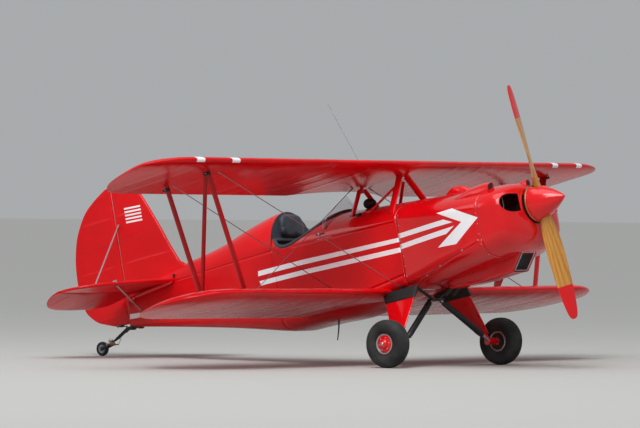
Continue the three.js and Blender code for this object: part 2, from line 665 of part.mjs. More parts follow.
// Interplane struts: an N on each side, tilted outwards to the longer upper wing
const N_STRUT = { footY: 1915, headY: 2250, chord: 50, thickness: 19 };
const spars = [FRONT_SPAR, REAR_SPAR];
const feet = spars.map((share) => onWing(lowerSection, N_STRUT.footY, share, 20));
const heads = spars.map((share) => onWing(upperSection, N_STRUT.headY, share, 10));
const nStrut = trim(
  streamlined(feet[0], heads[0], N_STRUT.chord, N_STRUT.thickness)
    .add(streamlined(feet[1], heads[1], N_STRUT.chord, N_STRUT.thickness))
    .add(streamlined(feet[1], heads[0], 0.8 * N_STRUT.chord, 0.85 * N_STRUT.thickness)),
  upperCut,
  lowerCut,
);
add("interplane_strut_left", nStrut, RED);
add("interplane_strut_right", mirrored(nStrut), RED);

// Cabane: inverted V struts front and rear that meet under the wing, with a diagonal on each side
const cabaneHead = spars.map((share) => onWing(upperSection, 0, share, -56));
const cabaneFoot = [[-62, 285, 150], [-537, 262, 190]];
const cabaneLegs = (foot, head, chord, thickness) => {
  const post = streamlined(head, [head[0], 0, head[2] + 60], chord * 0.6, thickness * 1.6, 16);
  return [1, -1]
    .map((side) => streamlined([foot[0], side * foot[1], foot[2]], [head[0], side * 6, head[2]], chord, thickness, 16))
    .reduce((joined, strut) => joined.add(strut), post);
};
const frontCabane = cabaneLegs(cabaneFoot[0], cabaneHead[0], 70, 24);
const rearCabane = cabaneLegs(cabaneFoot[1], cabaneHead[1], 50, 22);
const diagonalTop = [cabaneHead[0][0] - 20, 24, cabaneHead[0][2] - 34];
const diagonals = [1, -1].map((side) =>
  streamlined([-462, side * 268, 180], [diagonalTop[0], side * diagonalTop[1], diagonalTop[2]], 30, 18, 16),
);
const frontV = trim(frontCabane.add(diagonals[0]).add(diagonals[1]), upperCut, cockpitGrown);
const rearV = trim(rearCabane, upperCut, cockpitGrown);
add("cabane_strut_front", frontV, RED);
add("cabane_strut_rear", rearV, RED);

// Main stays
const wire = (from, to, chord = 9, thickness = 5) => streamlined(from, to, chord, thickness, 8);
const stays = [
  ["flying_wire_front", onWing(upperSection, 2190, FRONT_SPAR, 0), [-60, 300, -452]],
  ["flying_wire_rear", onWing(upperSection, 2190, REAR_SPAR, 0), [-640, 300, -430]],
  ["landing_wire", onWing(lowerSection, 1860, FRONT_SPAR, 20), onWing(upperSection, 90, REAR_SPAR, 0)],
];
stays.forEach(([name, outer, inner]) => {
  const stay = trim(wire(inner, outer), upperCut, lowerCut, cockpitGrown, nStrut, frontV, rearV);
  add(name + "_left", stay, STEEL);
  add(name + "_right", mirrored(stay), STEEL);
});

// Tail

// Flat tail surface: rings with a round nose and a thin trailing edge, mapped to a plane
function flatSurface(rows, place) {
  return loft(
    rows.map(([w, front, back, noseThick, tailThick]) => {
      const turn = (centre, radius, from) =>
        stations(from, from + 180, 4).map((a) => [centre + radius * Math.cos(a * deg), radius * Math.sin(a * deg)]);
      const nose = turn(front - noseThick / 2, noseThick / 2, -90);
      const tail = turn(back + tailThick / 2, tailThick / 2, 90);
      return [...nose, ...tail].map(([u, v]) => place(u, v, w));
    }),
  );
}
const upright = (u, v, w) => [u, v, w];
const level = (u, v, w) => [u, w, TAIL_Z + v];

// Columns: height, leading edge, trailing edge, nose thickness, tail thickness
const finBack = POST_X + 24;
const rudderFront = POST_X + 14;
const stabBack = TAIL_HINGE_X + 26;
const elevatorFront = TAIL_HINGE_X + 14;
const FIN_ROWS = [
  [150, -2480, finBack, 40, 30],
  [287, -2590, finBack, 38, 30],
  [330, -2655, finBack, 36, 30],
  [700, -2832, finBack, 32, 26],
  [960, -2962, finBack, 28, 24],
  [1040, -3018, finBack, 26, 22],
  [1088, -3075, finBack, 24, 20],
  [1114, -3130, finBack, 22, 20],
  [1128, -3190, finBack, 20, 18],
];
const RUDDER_ROWS = [
  [-88, POST_X + 6, -3420, 22, 8],
  [-80, rudderFront, -3495, 26, 8],
  [-58, rudderFront, -3560, 28, 8],
  [-14, rudderFront, -3680, 28, 8],
  [60, rudderFront, -3774, 28, 8],
  [123, rudderFront, -3818, 28, 8],
  [300, rudderFront, -3854, 28, 8],
  [517, rudderFront, -3848, 27, 8],
  [680, rudderFront, -3812, 26, 8],
  [803, rudderFront, -3760, 25, 8],
  [960, rudderFront, -3640, 24, 8],
  [1040, rudderFront, -3520, 23, 8],
  [1096, rudderFront, -3410, 21, 8],
  [1114, POST_X + 6, -3368, 18, 8],
];
// Columns: span, leading edge, trailing edge, nose thickness, tail thickness
const STAB_ROWS = [
  [0, -2640, stabBack, 36, 26],
  [150, -2652, stabBack, 36, 26],
  [400, -2696, stabBack, 34, 26],
  [700, -2792, stabBack, 32, 26],
  [870, -2862, stabBack, 30, 24],
  [965, -2938, stabBack, 26, 22],
  [1024, -3020, stabBack, 22, 20],
  [1050, -3085, stabBack, 20, 18],
];
const ELEVATOR_ROWS = [
  [64, elevatorFront, -3420, 28, 8],
  [120, elevatorFront, -3500, 28, 8],
  [300, elevatorFront, -3552, 28, 8],
  [600, elevatorFront, -3560, 28, 8],
  [800, elevatorFront, -3520, 26, 8],
  [930, elevatorFront, -3430, 24, 8],
  [1010, elevatorFront, -3325, 22, 8],
  [1050, elevatorFront, -3235, 20, 8],
];

const hingeAt = (z) => [POST_X, 0, z];
let fin = largest(flatSurface(FIN_ROWS, upright).subtract(tailGrown));
let rudder = flatSurface(RUDDER_ROWS, upright);
let tailCone = largest(rearFuselage);
[430, 930].forEach((z) => ({ fixed: fin, moving: rudder } = hinge(fin, rudder, hingeAt(z), [0, 0, 1], [1, 0, 0], 60)));
({ fixed: tailCone, moving: rudder } = hinge(tailCone, rudder, hingeAt(30), [0, 0, 1], [1, 0, 0], 60));
add("fin", largest(fin), RED);
add("rudder", largest(rudder), RED);
add("rear_fuselage", largest(tailCone), RED);

// Tailplane: fixed halves, and one elevator joined by a tube through the tail
const elevatorBore = rod([TAIL_HINGE_X, -300, TAIL_Z], [TAIL_HINGE_X, 300, TAIL_Z], 17, 24);
const stabWhole = flatSurface(STAB_ROWS, level).subtract(tailGrown.subtract(elevatorBore)).subtract(elevatorBore);
let stabiliser = largest(stabWhole.intersect(between(-4000, 0, 5, 2000)));
let elevatorHalf = flatSurface(ELEVATOR_ROWS, level);
[240, 620, 960].forEach((y) => {
  const next = hinge(stabiliser, elevatorHalf, [TAIL_HINGE_X, y, TAIL_Z], [0, 1, 0], [1, 0, 0], 60);
  stabiliser = next.fixed;
  elevatorHalf = next.moving;
});
const torqueTube = rod([TAIL_HINGE_X, -80, TAIL_Z], [TAIL_HINGE_X, 80, TAIL_Z], 11, 24);
const elevator = elevatorHalf
  .add(mirrored(elevatorHalf))
  .add(torqueTube)
  .translate(-TAIL_HINGE_X, 0, -TAIL_Z)
  .rotate(0, -ELEVATOR_DROOP, 0)
  .translate(TAIL_HINGE_X, 0, TAIL_Z);
add("stabiliser_left", largest(stabiliser), RED);
add("stabiliser_right", mirrored(largest(stabiliser)), RED);
add("elevator", largest(elevator), RED);
add("turtledeck", largest(turtledeck.subtract(elevatorBore)), RED);

// Tail braces above and below each stabiliser half
const swollen = (rows) => rows.map(([w, front, back, nose, tail]) => [w, front + 1, back - 1, nose + 1, tail + 1]);
const stabCut = flatSurface(swollen(STAB_ROWS), level);
const finCut = flatSurface(swollen(FIN_ROWS), upright);
const braces = [
  ["tail_brace_upper", [-3280, 8, 778], [-3050, 726, TAIL_Z]],
  ["tail_brace_lower", [-3140, 46, -12], [-2825, 695, TAIL_Z]],
];
braces.forEach(([name, inner, outer]) => {
  const brace = trim(wire(inner, outer, 17, 6), stabCut, finCut, tailGrown);
  add(name + "_left", brace, STEEL);
  add(name + "_right", mirrored(brace), STEEL);
});

// Main gear

// Columns: z, y, rear edge, front edge, thickness
const LEG_ROWS = [
  [-472, 330, -250, 96, 30],
  [-500, 344, -236, 97, 30],
  [-700, 471, -131, 80, 28],
  [-850, 567, -53, 66, 26],
  [-862, 575, -44, 62, 26],
];
const wheelInner = AXLE.half - TYRE.width / 2 - 10;
const legShape = (grow) =>
  loft(
    LEG_ROWS.map(([z, y, rearEdge, frontEdge, thickness], row) =>
      Array.from({ length: 18 }, (_, i) => {
        const a = (i / 18) * 2 * Math.PI;
        const bend = (v) => Math.sign(v) * Math.abs(v) ** 0.8;
        const [half, mid] = [(frontEdge - rearEdge) / 2 + grow, (frontEdge + rearEdge) / 2];
        const end = row === LEG_ROWS.length - 1 ? grow : 0;
        return [mid + half * bend(Math.cos(a)), y + (thickness / 2 + grow) * bend(Math.sin(a)), z - end];
      }),
    ),
  )
    .add(rod([AXLE.x - 22, 566, -850], [AXLE.x, 592, AXLE.z], 21 + grow, 20))
    .add(rod([AXLE.x, 566 - grow, AXLE.z], [AXLE.x, wheelInner, AXLE.z], 30 + grow, 24));
const axle = rod([AXLE.x, 600, AXLE.z], [AXLE.x, AXLE.half + 76, AXLE.z], 15, 24);
const gearLeg = largest(legShape(0).add(axle).subtract(cockpitGrown).subtract(lowerCut));
add("gear_leg_left", gearLeg, RED);
add("gear_leg_right", mirrored(gearLeg), RED);

// Tubes under the belly meet at a plate, which carries a sprung strut to each axle
const VEE = { x: 16, z: -560, half: 84 };
const plate = (grow) =>
  block([VEE.x - 26 - grow, -VEE.half - grow, VEE.z - 8 - grow], [VEE.x + 26 + grow, VEE.half + grow, VEE.z + 8 + grow]);
const veeTubes = [1, -1].map((side) => rod([VEE.x, side * 250, -440], [VEE.x, side * 24, VEE.z], 13));
const vee = plate(0).add(veeTubes[0]).add(veeTubes[1]);
const bodyGrown = cockpitGrown.add(bodyLoft(COWL_ROWS, stations(0, 600, 8), SEAM)).add(firewall(SEAM));
add("gear_vee", largest(vee.subtract(bodyGrown).subtract(chinScoop)), BLACK);
const strutEnds = [[VEE.x, 66, VEE.z - 4], [64, 566, -924]].map((p) => new THREE.Vector3(...p));
const alongStrut = (share) => strutEnds[0].clone().lerp(strutEnds[1], share).toArray();
const sprung = rod(alongStrut(0.05), alongStrut(0.7), 26, 20).add(rod(alongStrut(0), alongStrut(1), 11, 16));
const shockStrut = largest(sprung.subtract(plate(SEAM)).subtract(legShape(SEAM)));
add("shock_strut_left", shockStrut, BLACK);
add("shock_strut_right", mirrored(shockStrut), BLACK);

// Wheels: each a tyre on a dished hub, turning on its stub axle
const tyreProfile = stations(0, 360, 12).map((a) => {
  const [c, s] = [Math.cos(a * deg), Math.sin(a * deg)];
  const [middle, depth] = [(TYRE.radius + TYRE.bead) / 2, (TYRE.radius - TYRE.bead) / 2];
  const bulge = (v, n) => Math.sign(v) * Math.abs(v) ** n;
  return [middle + depth * bulge(c, 0.9), (TYRE.width / 2) * bulge(s, 0.75)];
});
const tyre = turnedAboutY(tyreProfile, 36);
const hubProfile = [
  [15.6, -48],
  [30, -48],
  [34, -30],
  [TYRE.bead - 12, -38],
  [TYRE.bead - 8, -50],
  [TYRE.bead + 3, -50],
  [TYRE.bead - 0.8, -36],
  [TYRE.bead - 0.8, 36],
  [TYRE.bead + 3, 50],
  [TYRE.bead - 8, 50],
  [TYRE.bead - 12, 44],
  [40, 56],
  [30, 72],
  [15.6, 72],
  [15.6, -48],
];
const wheelHub = turnedAboutY(hubProfile, 24);
[1, -1].forEach((side) => {
  const name = side > 0 ? "left" : "right";
  const place = (shape) => {
    const put = shape.translate(AXLE.x, AXLE.half, AXLE.z);
    return side > 0 ? put : mirrored(put);
  };
  add("tyre_" + name, place(tyre), RUBBER);
  add("wheel_" + name, place(wheelHub), RED);
});

// Tail wheel: leaf spring, swivelling fork and small solid-tyred wheel
const [parkSin, parkCos] = [Math.sin(PARK_ANGLE * deg), Math.cos(PARK_ANGLE * deg)];
const groundHeight = (x, z) => x * parkSin + z * parkCos;
const groundZ = groundHeight(AXLE.x, AXLE.z) - TYRE.radius;
const tailWheelZ = (groundZ + TAIL_WHEEL.radius - TAIL_WHEEL.x * parkSin) / parkCos;
const swivel = { x: TAIL_WHEEL.x + 122, z: tailWheelZ + 36 };
const upAxis = [parkSin, 0, parkCos];
const leafTop = [[-3190, -120], [-3345, -112], [-3400, -130], [-3500, -176], [-3532, swivel.z + 10]];
const leafEnd = [[swivel.x - 20, swivel.z + 8], [swivel.x - 20, swivel.z - 1]];
const leafUnder = [[-3530, swivel.z - 2], [-3494, -189], [-3394, -141], [-3345, -124], [-3315, -132], [-3190, -160]];
const pivotAt = (d) => [swivel.x - upAxis[0] * d, 0, swivel.z - upAxis[2] * d];
const leaf = sidePrism([...leafTop, ...leafEnd, ...leafUnder], 19);
const tailSpring = leaf.add(rod(pivotAt(-14), pivotAt(10), 24, 24)).subtract(tailGrown);
add("tail_spring", largest(tailSpring.subtract(rod(pivotAt(-60), pivotAt(60), 8.4, 20))), BLACK);
const wheelLine = (y) => [TAIL_WHEEL.x, y, tailWheelZ];
const cheek = (y) => {
  const [x, , z] = pivotAt(27);
  const arm = streamlined([x, y, z], wheelLine(y), 22, 7, 12);
  return arm.add(rod(wheelLine(y - 3.5), wheelLine(y + 3.5), 15, 20));
};
const fork = rod(pivotAt(10 + SEAM), pivotAt(30), 34, 24)
  .add(rod(pivotAt(-24), pivotAt(24), 8, 20))
  .add(cheek(27))
  .add(cheek(-27))
  .add(rod(wheelLine(-30), wheelLine(30), 6, 20))
  .add(streamlined([pivotAt(23)[0], -74, pivotAt(23)[2]], [pivotAt(23)[0], 74, pivotAt(23)[2]], 20, 8, 10));
add("tail_fork", largest(fork), BLACK);
const smallTyre = stations(0, 360, 10).map((a) => {
  const bulge = (v, n) => Math.sign(v) * Math.abs(v) ** n;
  const r = TAIL_WHEEL.radius;
  return [r * 0.56 + r * 0.44 * bulge(Math.cos(a * deg), 0.9), (TAIL_WHEEL.width / 2) * bulge(Math.sin(a * deg), 0.7)];
});
const smallHub = [[6.4, -20], [40, -14], [40, 14], [6.4, 20], [6.4, -20]];
const smallWheel = turnedAboutY(smallTyre, 20).add(turnedAboutY(smallHub, 20));
add("tail_wheel", largest(smallWheel).translate(TAIL_WHEEL.x, 0, tailWheelZ), RUBBER);

// Aerials: a raked whip on the upper wing and a short rod under the belly
const whipFoot = onWing(upperSection, 0, 0.62, 40);
const whipTip = [-774, 0, 1282];
const whipSocket = rod([whipFoot[0], 0, whipFoot[2] - 40], [whipFoot[0], 0, whipFoot[2] + 12], 15, 16);
add("whip_antenna", trim(rod(whipFoot, whipTip, 3.5, 10).add(whipSocket), upperCut), STEEL);
const bellyRod = rod([-950, -100, -520], [-1003, -100, -697], 4, 10).add(rod([-953, -100, -520], [-957, -100, -556], 11, 12));
add("belly_aerial", trim(bellyRod, cockpitGrown), STEEL);

// Stand the airframe on its wheels, with the origin on the floor under the middle of its length
const reach = new THREE.Box3().setFromObject(airframe, true);
airframe.position.set(-(reach.min.x + reach.max.x) / 2, 0, -groundZ);
const biplane = new THREE.Group();
biplane.add(airframe);
export default biplane;
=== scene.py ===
from math import atan2, cos, hypot, pi, radians, sin, sqrt, tan

import bmesh
import bpy
import numpy as np
from mathutils import Matrix, Vector


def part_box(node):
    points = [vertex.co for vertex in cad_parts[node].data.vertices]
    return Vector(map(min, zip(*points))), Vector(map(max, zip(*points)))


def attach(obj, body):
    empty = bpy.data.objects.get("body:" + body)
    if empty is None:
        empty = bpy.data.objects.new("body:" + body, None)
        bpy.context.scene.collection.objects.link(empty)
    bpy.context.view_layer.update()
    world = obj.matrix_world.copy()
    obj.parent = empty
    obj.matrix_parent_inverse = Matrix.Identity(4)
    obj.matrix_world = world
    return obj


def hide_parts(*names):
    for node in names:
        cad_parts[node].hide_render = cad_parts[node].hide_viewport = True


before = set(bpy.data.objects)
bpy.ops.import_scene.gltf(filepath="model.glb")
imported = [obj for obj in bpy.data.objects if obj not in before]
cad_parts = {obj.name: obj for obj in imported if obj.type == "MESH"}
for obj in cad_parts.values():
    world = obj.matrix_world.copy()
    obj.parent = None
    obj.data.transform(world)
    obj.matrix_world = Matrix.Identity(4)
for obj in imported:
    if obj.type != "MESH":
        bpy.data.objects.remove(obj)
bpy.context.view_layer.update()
print("frame loaded with", len(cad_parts), "nodes")

parked = {"noseUp": 12.5, "axle": (0.040, -0.925)}  # degrees, and the main axle on the level airframe
bladesTurned = 10.5  # degrees from upright


def parkMatrix():
    low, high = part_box("tyre_left")
    turn = Matrix.Rotation(-radians(parked["noseUp"]), 4, "Y")
    axle = turn @ Vector((parked["axle"][0], 0, parked["axle"][1]))
    return Matrix.Translation(((low.x + high.x) / 2 - axle.x, 0, (low.z + high.z) / 2 - axle.z)) @ turn


toRow = parkMatrix()


def linear(code):
    parts = [int(code[i : i + 2], 16) / 255 for i in (1, 3, 5)]
    return tuple(c / 12.92 if c <= 0.04045 else ((c + 0.055) / 1.055) ** 2.4 for c in parts) + (1,)


def addNode(material, kind, fields=None, values=None, links=None):
    node = material.node_tree.nodes.new("ShaderNode" + kind)
    for name, value in (fields or {}).items():
        setattr(node, name, value)
    for socket, value in (values or {}).items():
        node.inputs[socket].default_value = value
    for socket, source in (links or {}).items():
        material.node_tree.links.new(source, node.inputs[socket])
    return node


class Finish:  # one material, patterned in object coordinates
    def __init__(self, name, **values):
        self.material = bpy.data.materials.new(name)
        self.material.use_nodes = True
        self.shader = self.material.node_tree.nodes["Principled BSDF"]
        for socket, value in values.items():
            self.shader.inputs[socket.replace("_", " ")].default_value = value
        self.place = addNode(self.material, "TexCoord").outputs["Object"]

    def node(self, kind, source=None, fields=None, **values):
        links = {"Vector": self.place if source is None else source}
        return addNode(self.material, kind, fields, values, links)

    def noise(self, scale, detail, source=None):
        return self.node("TexNoise", source, Scale=scale, Detail=detail).outputs["Fac"]

    def mapped(self, source=None, **values):
        return self.node("Mapping", source, **values).outputs["Vector"]

    def join(self, source, socket):
        self.material.node_tree.links.new(source, self.shader.inputs[socket])

    def ramp(self, source, *stops):
        node = addNode(self.material, "ValToRGB", links={"Fac": source})
        for element, (place, code) in zip(node.color_ramp.elements, stops):
            element.position, element.color = place, linear(code)
        return node.outputs["Color"]

    def colour(self, source, *stops):
        self.join(self.ramp(source, *stops), "Base Color")

    def gloss(self, source, low, high, least, most):
        values = {"From Min": low, "From Max": high, "To Min": least, "To Max": most}
        spread = addNode(self.material, "MapRange", values=values, links={"Value": source})
        self.join(spread.outputs["Result"], "Roughness")

    def bump(self, height, strength, distance):
        values = {"Strength": strength, "Distance": distance}
        relief = addNode(self.material, "Bump", values=values, links={"Height": height})
        self.join(relief.outputs["Normal"], "Normal")


# Two-part polyurethane enamel, sprayed and polished: deep even colour under a clear wet gloss, with a
# faint orange peel of 3 mm, drawn at 12 mm so that it shows. On doped polyester cloth a weave of 0.5 mm
# would print through; it is too fine to show, so the cloth only softens the gloss.
def sprayedEnamel(name, colour, shade, roughness, gloss, coat, peelDepth=0.05):
    peel = 12.0  # mm
    paint = Finish(
        name, Roughness=roughness, Specular_IOR_Level=gloss, Coat_Weight=coat, Coat_Roughness=0.05
    )
    paint.colour(paint.noise(1.7, 4), (0.35, shade), (0.65, colour))
    paint.bump(paint.noise(1000 / peel, 1), peelDepth, 0.001)
    return paint.material


# Powder-coated steel: satin black with a fine pebble of about 1 mm, drawn at 2 mm
def powderCoat(name, colour, roughness):
    coat = Finish(name, Base_Color=linear(colour), Roughness=roughness, IOR=1.5)
    coat.gloss(coat.noise(35, 5), 0.35, 0.7, roughness - 0.08, roughness + 0.12)
    coat.bump(coat.noise(500, 2), 0.2, 0.0005)
    return coat.material


# Metals are grey-white and mirror-like; drawn or cast, with streaks or grit (in mm) in the gloss
def plainMetal(name, colour, roughness, grit, stretch=(1, 1, 1)):
    metal = Finish(name, Base_Color=linear(colour), Metallic=1.0, Roughness=roughness)
    streaks = metal.noise(1000 / grit, 3, metal.mapped(Scale=stretch))
    metal.gloss(streaks, 0.3, 0.7, roughness * 0.7, roughness * 1.4)
    return metal.material


# Tyre rubber: matt blue-black, greyed by dust in patches, over a moulded grain of 2.5 mm
def tyreRubber():
    tread = Finish("vulcanised_rubber", Roughness=0.82, IOR=1.52)
    tread.colour(tread.noise(9, 8), (0.4, "#191B1E"), (0.75, "#3A3A38"))
    tread.bump(tread.noise(400, 2), 0.25, 0.0006)
    return tread.material


# Upholstery vinyl: soft blue-grey sheen over a pebbled grain of 1.5 mm, drawn at 4 mm
def upholsteryVinyl():
    cover = Finish("blue_grey_upholstery_vinyl", Roughness=0.5, IOR=1.5, Sheen_Weight=0.15)
    cover.colour(cover.noise(14, 4), (0.35, "#20262F"), (0.7, "#323A47"))
    cover.bump(cover.node("TexVoronoi", Scale=250).outputs["Distance"], 0.35, 0.0008)
    return cover.material


# Woven polyester webbing: matt, ribbed across at 2 mm, drawn at 5 mm
def wovenWebbing():
    belt = Finish("woven_polyester_webbing", Roughness=0.8, Sheen_Weight=0.2)
    ribs = belt.node("TexWave", None, {"bands_direction": "Z"}, Scale=32, Distortion=0.5).outputs["Fac"]
    belt.colour(ribs, (0.3, "#3B3F33"), (0.7, "#565B49"))
    belt.bump(ribs, 0.4, 0.001)
    return belt.material


# Varnished laminated maple: honey layers 14 mm thick stacked along the shaft, with grain along the blade
def laminatedMaple(turned):
    wood = Finish(
        "varnished_laminated_maple", Roughness=0.28, IOR=1.5, Coat_Weight=0.5, Coat_Roughness=0.08
    )
    levelled = wood.mapped(Rotation=(0, radians(parked["noseUp"]), 0))
    bladeWise = wood.mapped(levelled, Rotation=(-radians(turned), 0, 0))
    pair = 0.028  # a dark and a pale layer
    fields = {"bands_direction": "X"}
    layers = wood.node("TexWave", bladeWise, fields, Scale=1 / pair / 2, Distortion=0.3, Detail=1)
    grain = wood.noise(160, 5, wood.mapped(bladeWise, Scale=(1, 1, 0.06)))
    layerTint = wood.ramp(layers.outputs["Fac"], (0.2, "#C48330"), (0.6, "#D3953F"))
    grainTint = wood.ramp(grain, (0.3, "#9A6220"), (0.6, "#FFFFFF"))
    mixed = addNode(
        wood.material,
        "Mix",
        {"data_type": "RGBA", "blend_type": "MULTIPLY"},
        {"Factor": 0.35},
        {"A": layerTint, "B": grainTint},
    )
    wood.join(mixed.outputs["Result"], "Base Color")
    return wood.material


# Birch plywood floor, varnished: pale, with long grain fore and aft
def birchPly():
    board = Finish("varnished_birch_plywood", Roughness=0.45, IOR=1.5)
    grain = board.noise(90, 5, board.mapped(Scale=(0.08, 1, 1)))
    board.colour(grain, (0.3, "#8F6A3C"), (0.7, "#C79E63"))
    return board.material


# Acrylic sheet: colourless and clear, with faint polishing haze
def clearAcrylic():
    sheet = Finish("heat_formed_acrylic", Roughness=0.03, IOR=1.49, Transmission_Weight=1.0)
    sheet.gloss(sheet.noise(60, 6), 0.45, 0.8, 0.02, 0.12)
    return sheet.material


# Acrylic edge, sawn and left matt: it glows white against the clear sheet
def sawnAcrylic():
    edge = Finish("sawn_acrylic_edge", Base_Color=linear("#B9C4CA"), Roughness=0.5, IOR=1.49)
    edge.bump(edge.noise(250, 3), 0.3, 0.0005)
    return edge.material


# Floor paint: pale, flat and almost without shine, a little uneven where it was rolled on
def floorPaint(colour):
    paint = Finish("matt_floor_paint", Base_Color=linear(colour), Specular_IOR_Level=0.1)
    paint.gloss(paint.noise(0.6, 3), 0, 1, 0.85, 1)
    return paint.material


# Doped cloth softens the gloss, sheet metal keeps it sharp; strut tubes are duller and painted darker as
# shade
redCloth = sprayedEnamel("red_enamel_on_doped_cloth", "#DC0711", "#C8050E", 0.25, 0.2, 0.1)
redMetal = sprayedEnamel("red_enamel_on_aluminium", "#E00913", "#CE0710", 0.16, 0.35, 0.4, 0.03)
shadedStrutRed = sprayedEnamel("red_enamel_on_strut_tube_darkened_as_shade", "#B4060E", "#A0050C", 0.32, 0.2, 0.08, 0.03)
whiteEnamel = sprayedEnamel("white_enamel_stripe", "#F6F6F8", "#EDEDF1", 0.25, 0.4, 0.2)
blackCoat = powderCoat("black_powder_coated_steel", "#17191C", 0.45)  # satin
blackCrackle = powderCoat("black_crackle_enamel", "#101214", 0.6)  # duller, as crackle paint is
blackNeoprene = powderCoat("moulded_black_neoprene", "#0F1012", 0.7)  # boots: matt, faintly crumpled
dialBlack = powderCoat("matt_dial_enamel", "#0A0B0C", 0.5)  # the deepest black, behind the needles
wireSteel = plainMetal("drawn_stainless_wire", "#9A9EA4", 0.32, 8)  # bright, streaked by the die
castAlloy = plainMetal("sand_cast_aluminium", "#8D9094", 0.5, 3)  # grey and gritty
paleAlloy = plainMetal("brushed_aluminium", "#C9CCD0", 0.34, 4, (1, 8, 1))  # pale, with brush lines
brass = plainMetal("turned_brass", "#C6A274", 0.36, 6)  # warm and worn
bronze = plainMetal("sand_cast_bronze", "#9A7A60", 0.5, 3)  # brown and gritty
burntSteel = plainMetal("heat_blued_exhaust_steel", "#4A4138", 0.55, 12)  # brown-black and dull
rubber = tyreRubber()
vinyl = upholsteryVinyl()
webbing = wovenWebbing()
maple = laminatedMaple(bladesTurned)
plywood = birchPly()
acrylic = clearAcrylic()
acrylicEdge = sawnAcrylic()
print("materials ready")


def turns(count):  # angles spread evenly round a circle
    return [2 * pi * k / count for k in range(count)]


def bulge(v, power):  # squares off a round section below 1
    return np.sign(v) * abs(v) ** power


def rising(v, start, length):  # 0 up to the start and 1 from the end of a length
    return min(max((v - start) / length, 0), 1)


def steps(start, end, size):
    return list(np.linspace(start, end, max(int(round(abs(end - start) / size)), 1) + 1))


def openMesh(mesh):
    shape = bmesh.new()
    shape.from_mesh(mesh)
    return shape


def closeMesh(shape, mesh):
    shape.to_mesh(mesh)
    shape.free()


